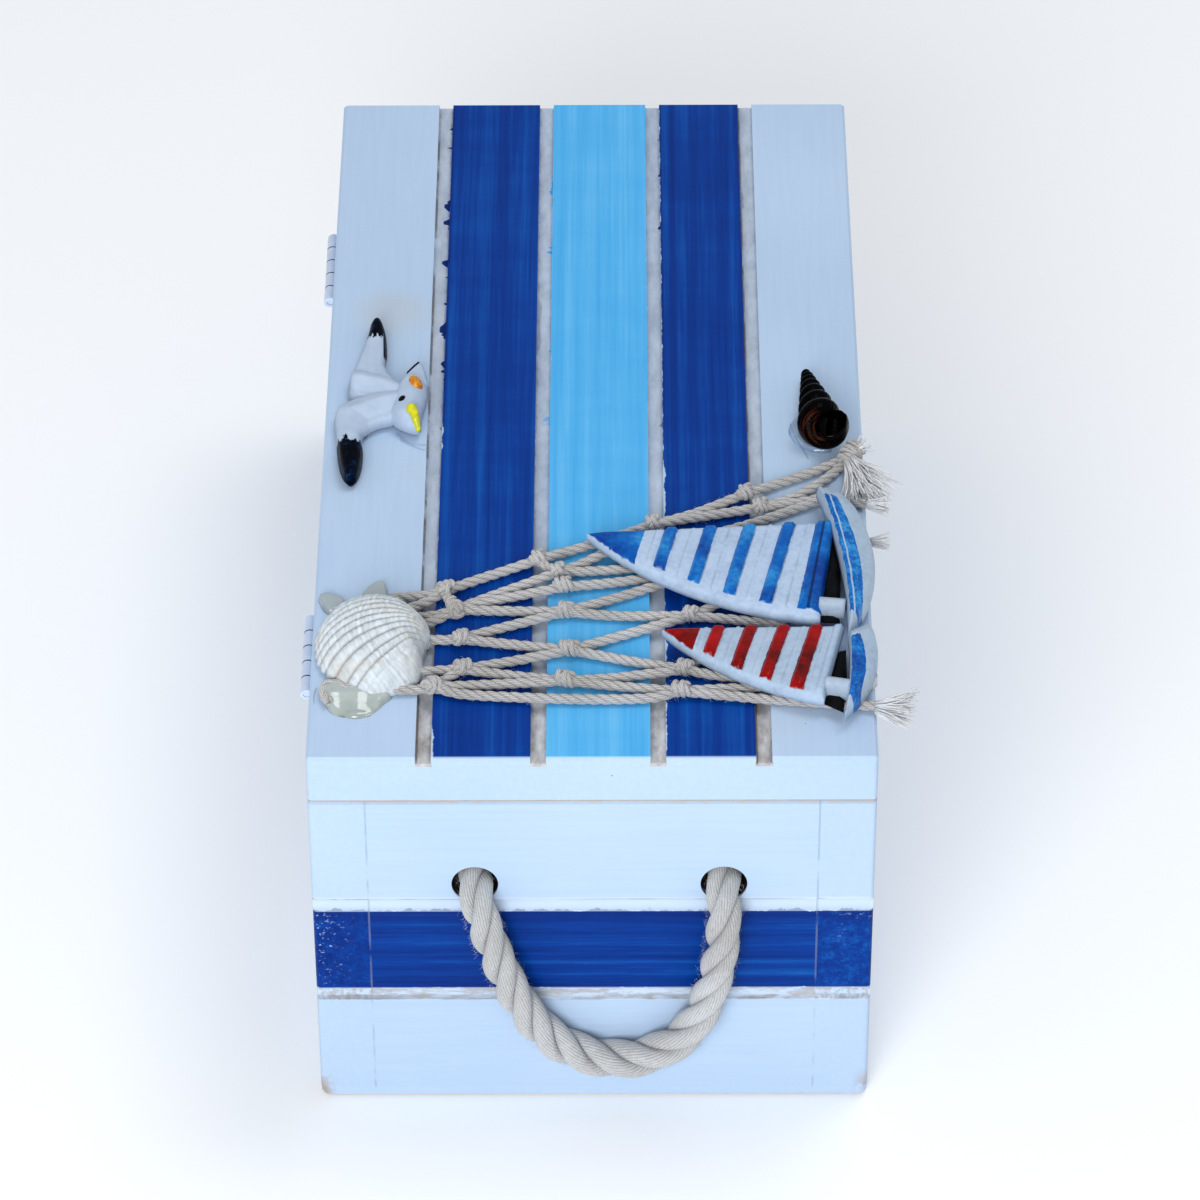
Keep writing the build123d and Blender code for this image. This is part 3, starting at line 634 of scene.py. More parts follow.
# ---------------------------------------------------------------- painted boards
# Metres: the left edges of the lid's grooves, the sides of its blue bands, and the walls' band in height.
GROOVES, GROOVE_WIDE = (-0.0372, -0.0131, 0.0121, 0.0343), 0.0036
LEFT_NAVY, SKY, RIGHT_NAVY = (-0.0339, -0.0128), (-0.0097, 0.0123), (0.0157, 0.0345)
BAND_LOW, BAND_HIGH = 0.0333, 0.0562
PAINT_RISE = 0.00012  # how far a coat of paint stands up


def white_paint(p, grain):
    """Brushed white paint: colour, roughness and height, with the brush drawn out along the grain."""
    brush = p.noise(900, 4, 0.55, grain)
    broad = p.noise(14)
    colour = p.ramp(brush * 0.35 + broad * 0.65, (0.3, 0.395, 0.52, 0.69), (0.7, 0.465, 0.59, 0.76))
    return colour, p.step(broad, 0.3, 0.7, 0.42, 0.60), brush * 0.7 + p.noise(1500, 2) * 0.3


def lid_stains_and_shade(p, x, y, white):
    """Three soft grey patches round the gull's wing tips and beside the small boat, part stain and part painted
    shade, and a few specks.
    """
    darkening = None
    for place_x, place_y, reach in ((-0.045, -0.028, 0.016), (0.050, -0.100, 0.020), (-0.046, 0.035, 0.012)):
        spot = p.step(p.distance(x, y, place_x, place_y), reach * 0.3, reach, 1.0, 0.0)
        darkening = darkening + spot if darkening else spot
    darkening = darkening.clamped() * p.patches(45, 3, 0.6, 0.36, 0.66)
    # Stain and painted shade: the patches grey the white beside the gull and the small boat.
    white = p.mix(darkening * 0.38, white, (0.46, 0.45, 0.42))
    return p.mix(p.flecks(190, 0.64) * 0.75, white, (0.06, 0.06, 0.07))


def lid_bands(p, x, y, z):
    """Masks of the dark and the light blue bands, with ragged edges."""
    ragged = x + p.ragged(260, 4, 0.65, 0.0016)
    slipped = ragged + p.patches(34, 2, 0.5, 0.60, 0.70) * -0.0007
    face = p.step(z, 0.0984, 0.0988) * p.step(y, -0.1173, -0.1166)
    navy = (p.inside(slipped, *LEFT_NAVY, 0.00025) + p.inside(slipped, *RIGHT_NAVY, 0.00025)).clamped()
    return navy * face, p.inside(ragged, *SKY, 0.00025) * face


def lid_spills(p, x, y, z, colour):
    """Blue paint that ran over the grooves' edges at the far end."""
    beads = p.noise(150, 3, 0.6, (0.4, 1.0, 0.4))
    for edge, reach, shade, low in (
        (-0.0336, 0.0017, (0.000, 0.018, 0.15), 0.50),
        (0.0157, 0.0011, (0.000, 0.018, 0.15), 0.58),
        (-0.0095, 0.0020, (0.07, 0.38, 0.72), 0.60),
    ):
        past = x - edge
        spill = p.step(past + p.step(beads, low, low + 0.14) * reach, 0.0, 0.0002)
        spill = spill * p.step(past, 0.0004, 0.0002)
        colour = p.mix(spill * p.step(y, -0.020, 0.010) * p.step(z, 0.0972, 0.0976), colour, shade)
    return colour


def lid_groove_lines(p, x, z, colour):
    """Dark broken lines along the left edges of the outer grooves."""
    for edge in (0.0344, -0.0370):
        groove_line = p.inside(x, edge, edge + 0.0003, 0.0002) * p.patches(60, 4, 0.7, 0.38, 0.54)
        colour = p.mix(groove_line * p.step(z, 0.0980, 0.0988) * 0.75, colour, (0.075, 0.055, 0.045))
    return colour


def lid_paint():
    p = Paint("lid_paint")
    x, y, z = p.axes()
    white, rough, height = white_paint(p, (1.0, 0.05, 1.0))
    streaks = p.noise(420, 4, 0.6, (1.0, 0.012, 1.0)) * 0.5 + p.noise(1500, 3, 0.6, (1.0, 0.02, 1.0)) * 0.2
    tone = streaks + p.noise(70, 3, 0.6, (0.5, 1.6, 1.0)) * 0.12 + p.noise(18, 3, 0.55) * 0.22
    navy = p.ramp(tone, (0.34, 0.000, 0.016, 0.15), (0.52, 0.000, 0.036, 0.25), (0.70, 0.003, 0.090, 0.40))
    sky = p.ramp(tone, (0.34, 0.045, 0.34, 0.70), (0.52, 0.085, 0.41, 0.76), (0.70, 0.16, 0.50, 0.82))
    navy_mask, sky_mask = lid_bands(p, x, y, z)
    painted = (navy_mask + sky_mask).clamped()
    colour = p.mix(navy_mask, lid_stains_and_shade(p, x, y, white), navy)
    colour = p.mix(sky_mask, colour, sky)
    scuffs = p.patches(520, 5, 0.7, 0.70, 0.76, (1.0, 0.35, 1.0)) * p.patches(22, 2, 0.5, 0.50, 0.62)
    colour = p.mix(scuffs * painted * 0.30, colour, (0.45, 0.62, 0.90))
    worn = p.noise(380, 4, 0.65, (1.0, 0.4, 1.0))
    bare = p.ramp(worn, (0.34, 0.27, 0.25, 0.24), (0.55, 0.47, 0.455, 0.45), (0.72, 0.60, 0.60, 0.61))
    groove = p.step(z, 0.0990, 0.0986) * p.step(z, 0.0975, 0.0980)
    first, *others = [p.inside(x, start, start + GROOVE_WIDE, 0.0001) for start in GROOVES]
    in_groove = sum(others, first).clamped()
    colour = p.mix(groove * in_groove * p.step(y, -0.1175, -0.060, 1.0, 0.45), colour, bare)
    colour = lid_groove_lines(p, x, z, lid_spills(p, x, y, z, colour))
    board = p.ramp(p.noise(300, 4, 0.6), (0.3, 0.33, 0.24, 0.16), (0.7, 0.45, 0.34, 0.24))
    colour = p.mix(p.step(z, 0.0884, 0.0881), colour, board)
    height = height + painted * 0.5 + worn * groove
    return p.finish(colour, rough - painted * 0.10, height, PAINT_RISE, 0.6, Specular_IOR_Level=0.07)


def wall_band(p, z, outside, corner, white, along):
    """The dark blue band: the colour over it, and its mask."""
    streaks = p.noise(420, 4, 0.6, along(0.012)) * 0.45 + p.noise(1400, 4, 0.7, along(0.05)) * 0.28
    tone = streaks + p.noise(16) * 0.27
    navy = p.ramp(tone, (0.36, 0.000, 0.014, 0.14), (0.54, 0.000, 0.037, 0.25), (0.70, 0.006, 0.11, 0.42))
    # Painted shade: the band darkens towards its top, under the upper groove.
    navy = p.mix(p.step(z, 0.0515, 0.0550) * 0.45, navy, (0.001, 0.010, 0.12))
    band = p.inside(z + p.ragged(300, 5, 0.7, 0.0022), BAND_LOW, BAND_HIGH, 0.0002) * outside
    thin = p.step(p.noise(70, 2), 0.44, 0.60, 0.0, 0.7)
    specks = p.patches(1100, 3, 0.7, 0.60, 0.66) * corner * thin
    return p.mix(specks * band, p.mix(band, white, navy), (0.55, 0.68, 0.90)), band


def wall_lit_strips(p, z, outside, colour, along):
    """The strips above and below the band, painted lighter as a painted highlight, with brown crumbs and dark
    lines: the colour over them, and the mask of their crumbs.
    """
    upper = p.inside(z, BAND_HIGH, 0.0600, 0.0003) * outside
    lower = p.inside(z, 0.0298, BAND_LOW, 0.0003) * outside
    crumbs = lower * p.patches(700, 5, 0.75, 0.44, 0.60, along(0.22))
    # Painted highlight: the strips over the grooves are lighter than the white paint, also on the sides, where
    # there are no grooves.
    colour = p.mix((upper | lower) * 0.5, colour, (0.60, 0.68, 0.78))
    colour = p.mix(crumbs * 0.60, colour, (0.33, 0.27, 0.22))
    # Dark broken lines: a painted shadow along the upper groove's top edge, and a line along the lower groove's
    # bottom edge.
    lines = p.inside(z, 0.0590, 0.0597, 0.0002) | p.inside(z, 0.0299, 0.0305, 0.0002)
    lines = lines * p.patches(90, 4, 0.7, 0.40, 0.56, along(0.22)) * outside
    return p.mix(lines * 0.55, colour, (0.18, 0.17, 0.18)), crumbs


def wall_wear(p, z, across, length, colour):
    """The seams between boards, worn lower corners and upper edges, and specks."""
    seam = p.inside(across, 0.04785, 0.04815, 0.00012) * p.step(length, 0.1160, 0.1165)
    colour = p.mix(seam * p.patches(120, 3, 0.6, 0.36, 0.60) * 0.42, colour, (0.20, 0.24, 0.32))
    corner = p.step(z, 0.010, 0.0005) * p.step(across, 0.0560, 0.0602) * p.step(length, 0.1110, 0.1172)
    colour = p.mix(corner * p.patches(260, 5, 0.7, 0.42, 0.52), colour, (0.36, 0.25, 0.16))
    top = p.step(z, 0.0868, 0.0876) * p.patches(150, 4, 0.7, 0.48, 0.60)
    colour = p.mix(top * 0.45, colour, (0.52, 0.42, 0.32))
    return p.mix(p.flecks(120, 0.66) * 0.8, colour, (0.06, 0.05, 0.06))


def wall_paint(name, grain):
    """The walls' white paint with the dark blue band; grain is the axis along the board."""

    def along(share):
        return tuple(share if axis == grain else 1.0 for axis in "xyz")

    p = Paint(name)
    x, y, z = p.axes()
    across, length = abs(x), abs(y)
    white, rough, height = white_paint(p, along(0.05))
    outside = p.step(across, 0.0560, 0.0570) | p.step(length, 0.1130, 0.1140)
    corner = p.step(across, 0.050, 0.060) * p.step(length, 0.1030, 0.1165)
    colour, band = wall_band(p, z, outside, corner, white, along)
    colour, crumbs = wall_lit_strips(p, z, outside, colour, along)
    colour = wall_wear(p, z, across, length, colour)
    # The holes' bores are painted near-black brown: bare board colour darkened by painted shade.
    for hole in (HOLE_LEFT, HOLE_RIGHT):
        bore = p.step(p.distance(x, z, hole, 0.0640), 0.0053, 0.00505) * p.step(length, 0.1172, 0.1170)
        colour = p.mix(bore, colour, (0.035, 0.024, 0.018))
    height = height + band * 0.5 + crumbs * 0.8
    return p.finish(colour, rough - band * 0.08, height, PAINT_RISE, 0.6, Specular_IOR_Level=0.07)


def base_paint():
    p = Paint("base_paint")
    x, y, z = p.axes()
    white, rough, height = white_paint(p, (1.0, 0.1, 1.0))
    corner = p.step(abs(x), 0.0560, 0.0602) * p.step(abs(y), 0.1110, 0.1172)
    colour = p.mix(p.patches(180, 5, 0.7, 0.46, 0.56) * corner, white, (0.34, 0.24, 0.15))
    under = p.ramp(p.noise(240, 4, 0.6), (0.3, 0.30, 0.21, 0.14), (0.7, 0.42, 0.32, 0.22))
    return p.finish(p.mix(p.step(z, 0.0006, 0.0001), colour, under), rough, height, 0.0001, 0.6)


def hinge_paint():
    """White paint with chips down to the metal, and painted shade in the gaps between the knuckles."""
    p = Paint("hinge_paint")
    x, y, _ = p.axes()
    chips = p.patches(700, 4, 0.7, 0.66, 0.70)
    tone = p.ramp(p.noise(240, 3, 0.6), (0.3, 0.52, 0.60, 0.76), (0.7, 0.63, 0.71, 0.86))
    knuckle_gap_shade = []
    for leaf in ("front_hinge_box_leaf", "rear_hinge_box_leaf"):
        low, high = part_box(leaf)
        for share in (0.2, 0.4, 0.6, 0.8):
            place = low[1] + (high[1] - low[1]) * share
            knuckle_gap_shade.append(p.inside(y, place - 0.00018, place + 0.00008, 0.0001))
    barrel = p.step(x, -0.0600, -0.0602)
    # Painted shade in the gaps between the knuckles, on the barrel only.
    colour = p.mix(largest(knuckle_gap_shade) * barrel, p.mix(chips, tone, (0.28, 0.28, 0.29)), (0.02, 0.02, 0.025))
    height = p.noise(900, 3, 0.6) + chips * -0.8
    return p.finish(colour, 0.38, height, 0.00006, 0.7, Metallic=chips * 0.9)


def hinge_metal():
    p = Paint("hinge_metal")
    tone = p.ramp(p.noise(500, 3, 0.6), (0.3, 0.40, 0.39, 0.37), (0.7, 0.58, 0.57, 0.55))
    return p.finish(tone, 0.34, p.noise(1600, 3, 0.6), 0.00004, 0.6, Metallic=1.0)


def floor_paint():
    p = Paint("floor_paint")
    tone = p.ramp(p.noise(3, 2), (0.3, 0.93, 0.935, 0.94), (0.7, 0.95, 0.955, 0.96))
    return p.finish(tone, 0.9, p.noise(900, 2), 0.00005, 0.3)


def dress(material, *names):
    """Gives CAD nodes a material."""
    for name in names:
        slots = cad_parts[name].data.materials
        slots.clear()
        slots.append(material)


dress(lid_paint(), "lid_board")
dress(wall_paint("end_paint", "x"), "front_end_panel", "rear_end_panel")
dress(wall_paint("side_paint", "y"), "hinge_side_board", "opening_side_board")
dress(base_paint(), "base_board")
hinge_pieces = [end + "_hinge_" + part for end in ("front", "rear") for part in ("box_leaf", "lid_leaf", "pin")]
dress(hinge_paint(), *hinge_pieces)
dress(hinge_metal(), "box_leaf_screws", "lid_leaf_screws")
floor.data.materials.append(floor_paint())


# ---------------------------------------------------------------- cast and carved forms
def inside_outline(points, outline):
    x, y = points[:, 0], points[:, 1]
    inside = np.zeros(len(points), bool)
    for (x0, y0), (x1, y1) in zip(outline, np.roll(outline, -1, axis=0)):
        crosses = (y0 > y) != (y1 > y)
        at = x0 + (y - y0) * (x1 - x0) / (y1 - y0 if y1 != y0 else 1e-12)
        inside ^= crosses & (x < at)
    return inside


def line_distance(points, line):
    """Each point's distance from a line of segments."""
    best = np.full(len(points), 1e9)
    for a, b in zip(line, line[1:]):
        ab = b - a
        t = np.clip(((points - a) @ ab) / max(ab @ ab, 1e-12), 0, 1)
        best = np.minimum(best, np.linalg.norm(points - (a + t[:, None] * ab), axis=1))
    return best


def edge_distance(points, outline):
    return line_distance(points, np.append(outline, outline[:1], axis=0))


def smooth_outline(corners, spacing):
    """A closed smooth curve through the corners, evenly spaced."""
    c = np.array(corners, float)
    places = []
    for i in range(len(c)):
        p0, p1, p2, p3 = c[i - 1], c[i], c[(i + 1) % len(c)], c[(i + 2) % len(c)]
        for t in np.linspace(0, 1, 12, endpoint=False):
            bend = (2 * p0 - 5 * p1 + 4 * p2 - p3) * t**2 + (3 * p1 - p0 - 3 * p2 + p3) * t**3
            places.append(0.5 * (2 * p1 + (p2 - p0) * t + bend))
    places = np.array(places + [places[0]])
    length = run_length(places)[-1]
    return read_at(places, np.linspace(0, length, int(length / spacing), endpoint=False))


def pillow(soup, outline, height, base, spacing, tuck=0.0, mark=None):
    """Adds a closed form in mm over an outline: height(points, edge distance) above, and a tuck at base."""
    low, high = outline.min(0), outline.max(0)
    across = np.arange(low[0], high[0], spacing)
    along = np.arange(low[1], high[1], spacing * 0.866)
    grid = np.array([(a + (j % 2) * spacing / 2, b) for j, b in enumerate(along) for a in across])
    grid = grid[inside_outline(grid, outline)]
    grid = grid[edge_distance(grid, outline) > spacing * 0.55]
    n = len(outline)
    edges = [(i, (i + 1) % n) for i in range(n)]
    made = delaunay_2d_cdt([Vector(v) for v in np.concatenate([outline, grid])], edges, [], 1, 1e-6)
    places = np.array([tuple(v) for v in made[0]], float)
    top = np.column_stack([places, base + height(places, edge_distance(places, outline))])
    after, before = np.roll(outline, -1, axis=0), np.roll(outline, 1, axis=0)
    left_turning = np.sum(outline[:, 0] * after[:, 1] - after[:, 0] * outline[:, 1]) > 0
    run = after - before
    inward = unit(np.stack([-run[:, 1], run[:, 0]], 1)) * (1 if left_turning else -1)
    foot = np.column_stack([outline + inward * tuck, np.full(n, base)])
    came_from = {k: i for i, sources in enumerate(made[3]) for k in sources}
    verts = np.concatenate([top, foot])
    start = soup.add(verts * MM, verts[:, :2] * 0.01 if mark is None else mark(verts))
    rim = start + len(places)
    soup.faces += [tuple(start + i for i in face) for face in made[2]]
    for i, j in edges:
        quad = (start + came_from[i], rim + i, rim + j, start + came_from[j])
        soup.faces.append(quad if left_turning else quad[::-1])
    under = tuple(rim + i for i in range(n))
    soup.faces.append(under[::-1] if left_turning else under)


def rounded(away, width):
    """A quarter round: 0 at the edge and 1 from a width inwards."""
    return np.sqrt(np.clip(1 - (1 - np.clip(away / width, 0, 1)) ** 2, 0, 1))


def dome(peak, width, floor_share=0.0):
    """A height that rises from the edge over a width and then stays level."""
    return lambda points, away: peak * (floor_share + (1 - floor_share) * rounded(away, width))


def solid_grid(soup, top, uvs, base):
    """Adds a closed solid in mm between a grid of points and its shadow at the height of base."""
    rows, columns = top.shape[:2]
    bottom = top.copy()
    bottom[..., 2] = base
    n = rows * columns
    verts = np.concatenate([top.reshape(-1, 3), bottom.reshape(-1, 3)])
    start = soup.add(verts * MM, np.concatenate([uvs.reshape(-1, 2)] * 2))
    ring = [(r, 0) for r in range(rows)] + [(rows - 1, c) for c in range(1, columns)]
    ring += [(r, columns - 1) for r in range(rows - 2, -1, -1)] + [(0, c) for c in range(columns - 2, 0, -1)]

    def at(place):
        return start + place[0] * columns + place[1]

    for r in range(rows - 1):
        for c in range(columns - 1):
            quad = [at(place) for place in ((r, c), (r + 1, c), (r + 1, c + 1), (r, c + 1))]
            soup.faces.append(tuple(quad))
            soup.faces.append(tuple(i + n for i in reversed(quad)))
    for one, two in zip(ring, ring[1:] + ring[:1]):
        soup.faces.append((at(two), at(one), at(one) + n, at(two) + n))


# ---------------------------------------------------------------- sailboats
BOAT_BASE, SAIL_THICK, HULL_THICK = 102.8, 2.75, 5.5  # mm
DECK_SLOPE = math.radians(18)
BLUES = (0.000, 0.038, 0.25), (0.000, 0.115, 0.44), (0.040, 0.31, 0.66)
REDS = (0.060, 0.000, 0.000), (0.27, 0.000, 0.000), (0.42, 0.002, 0.003)
SAIL_SHARES = np.concatenate([[0, 0.008, 0.02, 0.04], np.linspace(0.065, 0.93, 54), [0.955, 0.975, 0.99, 1.0]])


def boat_frame(from_side, from_front, heading):
    """Turns a boat's own mm, u up its mast and v aft, into places on the lid."""
    turn = math.radians(heading)
    up = np.array((math.cos(turn), math.sin(turn)))
    aft = np.array((-math.sin(turn), math.cos(turn)))
    corner = np.array((RIGHT_SIDE - from_side, FRONT_END + from_front))
    return lambda u, v: corner + np.multiply.outer(u, up) + np.multiply.outer(v, aft)


def arc_through(a, b, c, count):
    """Points of the arc from a through b to c."""
    a, b, c = (np.array(p, float) for p in (a, b, c))
    d = 2 * (a[0] * (b[1] - c[1]) + b[0] * (c[1] - a[1]) + c[0] * (a[1] - b[1]))
    sq = [p @ p for p in (a, b, c)]
    centre = np.array((
        (sq[0] * (b[1] - c[1]) + sq[1] * (c[1] - a[1]) + sq[2] * (a[1] - b[1])) / d,
        (sq[0] * (c[0] - b[0]) + sq[1] * (a[0] - c[0]) + sq[2] * (b[0] - a[0])) / d,
    ))
    angles = [math.atan2(*(p - centre)[::-1]) for p in (a, b, c)]
    span = (angles[2] - angles[0]) % TURN
    if (angles[1] - angles[0]) % TURN > span:
        span -= TURN
    turn = angles[0] + span * np.linspace(0, 1, count)
    return centre + np.linalg.norm(a - centre) * np.stack([np.cos(turn), np.sin(turn)], 1)


def sail_rows(boat):
    """Heights up the sail where its grid has a row: close together at the ribs' edges."""
    tip = boat["tip"][0]
    rows = [0.0, 0.35, *np.arange(1.0, tip - 0.4, 0.55), tip - 0.35, tip - 0.15]
    for start, wide in boat["ribs"]:
        for inwards in (-0.45, -0.12, 0.18, 0.45, 0.9):
            rows += [start + inwards, start + wide - inwards]
    return np.array(sorted({round(row, 3) for row in rows if 0 <= row < tip - 0.1}))


def sail_relief(boat, u, v, far):
    """How far the ribs and ridges of one row stand up, with a sunk line beside each rib."""
    relief = np.zeros_like(v)
    for start, wide in boat["ribs"]:
        half = wide / 2
        past_end = np.clip(v - (far - boat["margin"] - half), 0, None)
        away = np.hypot(u - start - half, past_end)
        rib = np.clip((half - away) / 0.35, 0, 1)
        relief = np.maximum(relief, 0.75 * rib * rib * (3 - 2 * rib))
        beside = np.clip(1 - np.abs(away - half - 0.28) / 0.28, 0, 1)
        relief = np.where(relief > 0.02, relief, -0.26 * beside)
    for start in boat["panels"]:
        ridge = np.clip(1 - abs(u - start) / 0.32, 0, 1)
        relief = relief + 0.42 * ridge * np.clip((far - boat["margin"] - v) / 0.6, 0, 1)
    return relief


def sail(boat, place):
    tip_u, tip_v = boat["tip"]
    leech = arc_through((0, boat["foot"]), boat["leech"], boat["tip"], 240)

    def lean(u):
        return boat["lean"] * np.clip(u / 8, 0, 1)

    row = leech[:, 0]
    for _ in range(3):
        row = leech[:, 0] + lean(row) * (leech[:, 1] - tip_v * row / tip_u)
    order = np.argsort(row)
    rows = sail_rows(boat)
    top = np.zeros((len(rows), len(SAIL_SHARES), 3))
    uvs = np.zeros((len(rows), len(SAIL_SHARES), 2))
    for i, u in enumerate(rows):
        near = tip_v * u / tip_u
        far = np.interp(u, row[order], leech[order, 1])
        v = near + (far - near) * SAIL_SHARES
        edge = np.minimum(np.minimum(v - near, (far - v) * 0.9), np.minimum(u + 0.02, (tip_u - u) * 0.6))
        level = SAIL_THICK * (0.55 + 0.45 * rounded(edge, 1.1)) - 0.35 * np.clip(1 - (far - v) / 3.2, 0, 1)
        belly = 0.35 * np.sin(np.pi * u / tip_u) * np.sin(np.pi * SAIL_SHARES)
        relief = sail_relief(boat, u, v, far) * np.clip(edge / 0.5, 0, 1)
        top[i, :, :2] = place(u - lean(u) * (v - near), v)
        top[i, :, 2] = BOAT_BASE + level + relief + belly
        uvs[i] = np.stack([np.full(len(v), u), far - v], 1) * 0.01
    return top, uvs


def hull(boat, place):
    rows, columns = 72, 22
    deck = arc_through(*boat["deck"], rows)
    keel = arc_through(boat["bow"], boat["keel"], boat["deck"][2], rows)
    along = np.linspace(0, 1, rows)[:, None]
    share = np.linspace(0, 1, columns)
    wide = np.linalg.norm(deck - keel, axis=1)[:, None]
    down = share * wide
    ends = np.minimum(1, (np.sin(np.pi * along) + 0.02) * 2.6)
    fall = HULL_THICK - down * math.tan(DECK_SLOPE) * 0.95
    edge = 0.5 + 0.5 * rounded(np.minimum(down, wide - down), 0.9)
    bulge = 0.55 * np.sin(np.pi * np.minimum(1, share * 1.1)) * ends
    wales = 0.32 * np.clip(1 - abs(down - 0.75) / 0.5, 0, 1) + 0.25 * np.clip(1 - abs(down - 2.0) / 0.45, 0, 1)
    level = fall * edge * (0.62 + 0.38 * ends) + bulge + wales * np.minimum(1, wide / 3)
    flat = deck[:, None] + (keel - deck)[:, None] * share[:, None]
    top = np.dstack([place(flat[..., 0], flat[..., 1]), BOAT_BASE + np.minimum(level, HULL_THICK + 0.25)])
    return top, np.dstack([down * 0.01, np.repeat(along, columns, 1)])


def mast_foot(boat, place):
    """The rounded stub between sail and hull."""
    side = np.linspace(-1, 1, 9)
    u, v = np.meshgrid(-2.2 + 2.8 * side, boat["foot"] - 4.5 + 1.7 * side, indexing="ij")
    crown = 0.25 + 0.75 * np.sqrt(1 - np.abs(side) ** 2.4)
    return np.dstack([place(u, v), BOAT_BASE + 4.2 * np.tile(crown, (9, 1))]), np.full((9, 9, 2), -0.5)


def sailboat(name, node, boat, paint):
    place = boat_frame(*boat["at"])
    pieces = []
    for part, form, material in (
        ("_sail", sail, paint), ("_hull", hull, boat["hull_paint"]), ("_mast_foot", mast_foot, plain),
    ):
        soup = Soup()
        solid_grid(soup, *form(boat, place), BOAT_BASE)
        pieces.append(soup.make(name + part, material))
    # A near-black sheet under the slot between sail foot and hull, standing in for the deep shade in the slot.
    soup = Soup()
    back = np.array([place(u, v) for u, v in boat["backing"]])
    pillow(soup, back, dome(1.0, 0.3), BOAT_BASE - 0.1, 1.2)
    pieces.append(soup.make(name + "_backing", dark))
    for piece in pieces:
        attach(piece, "lid")
    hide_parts(node)


def resin_white(p, shade=(1.0, 1.0, 1.0)):
    """White cast resin with small dark marks: colour and height."""
    tone = p.noise(160, 4, 0.6) * 0.5 + p.noise(900, 3, 0.6) * 0.5
    # The shade scale darkens each part's copy of the white resin, as painted shade.
    whites = (0.32, (0.42, 0.49, 0.59)), (0.5, (0.53, 0.60, 0.71)), (0.68, (0.60, 0.67, 0.77))
    colour = p.ramp(tone, *[(at, *(c * s for c, s in zip(white, shade))) for at, white in whites])
    colour = p.mix(p.flecks(330, 0.57) * 0.8, colour, (0.05, 0.05, 0.06))
    return colour, p.noise(700, 4, 0.6) * 0.6 + p.noise(2400, 2) * 0.4


def mast_foot_shaded_resin():
    p = Paint("mast_foot_shaded_resin")
    # Painted shade: the mast foot's resin is darkened as if in the hull's shadow.
    colour, height = resin_white(p, (0.62, 0.68, 0.72))
    return p.finish(colour, 0.55, height, 0.0001, 0.6)


def shade_black_resin():
    # Near-black, for the sheet of painted shade under each boat's slot.
    p = Paint("shade_black_resin")
    colour = p.ramp(p.noise(400), (0.3, 0.001, 0.001, 0.002), (0.7, 0.006, 0.006, 0.008))
    return p.finish(colour, 0.7, p.noise(900), 0.0001, 0.5, Specular_IOR_Level=0.08)


def sail_paint(name, boat, deep, mid, light, tip_start):
    """Stripes painted by hand on the ribs and over the tip, with ragged ends and worn streaks."""
    p = Paint(name)
    mm = 0.01
    margin = boat["margin"]
    u, v, _ = p.axes(p.uv)
    ragged = p.ragged(420, 4, 0.65, 0.0060)
    ur, vr = u + ragged * 0.8, v + ragged * 2.2
    stripes = [p.step(ur, tip_start * mm, tip_start * mm + 0.0015) * p.step(vr, 0.002, 0.005)]
    creases = []
    for start, wide in boat["ribs"]:
        if start not in boat["bare"]:
            stripe = p.inside(ur, (start - 0.1) * mm, (start + wide + 0.1) * mm, 0.0018)
            stripes.append(stripe * p.step(vr, (margin - 0.2) * mm, (margin + 0.25) * mm))
        creases.append(p.inside(u, (start - 0.40) * mm, (start - 0.10) * mm, 0.0012))
    creases += [p.inside(u, (at + 0.30) * mm, (at + 0.55) * mm, 0.0014) * 0.45 for at in boat["panels"]]
    # Dark lines in the sunk lines beside the ribs and the ridges.
    darkening = largest(creases) * p.step(v, (margin - 0.3) * mm, (margin + 0.3) * mm)
    darkening = darkening * p.patches(210, 4, 0.7, 0.36, 0.62)
    white, height = resin_white(p, boat["shade"])
    white = p.mix(darkening * 0.62, white, (0.13, 0.13, 0.14))
    tone = p.noise(110, 4, 0.6) * 0.8 + p.noise(900, 3, 0.6) * 0.2
    paint = p.ramp(tone, (0.36, *deep), (0.52, *mid), (0.70, *light))
    paint = p.mix(p.patches(620, 4, 0.7, 0.66, 0.72) * 0.5, paint, light)
    for start, wide in boat["ribs"]:
        if wide > 3:
            split = p.inside(u, (start + wide * 0.52) * mm, (start + wide * 0.62) * mm, 0.0012)
            paint = p.mix(split * 0.8, paint, tuple(c * 0.2 for c in deep))
    mask = largest(stripes)
    grime = p.patches(300, 4, 0.7, 0.58, 0.74) * p.step(mask, 0.0, 1.0, 0.22, 0.0)
    colour = p.mix(grime, p.mix(mask, white, paint), (0.33, 0.34, 0.36))
    rough = p.step(mask, 0.0, 1.0, 0.55, 0.22)
    return p.finish(colour, rough, height * 0.8 + mask * 0.8, 0.0001, 0.6, Specular_IOR_Level=0.14)


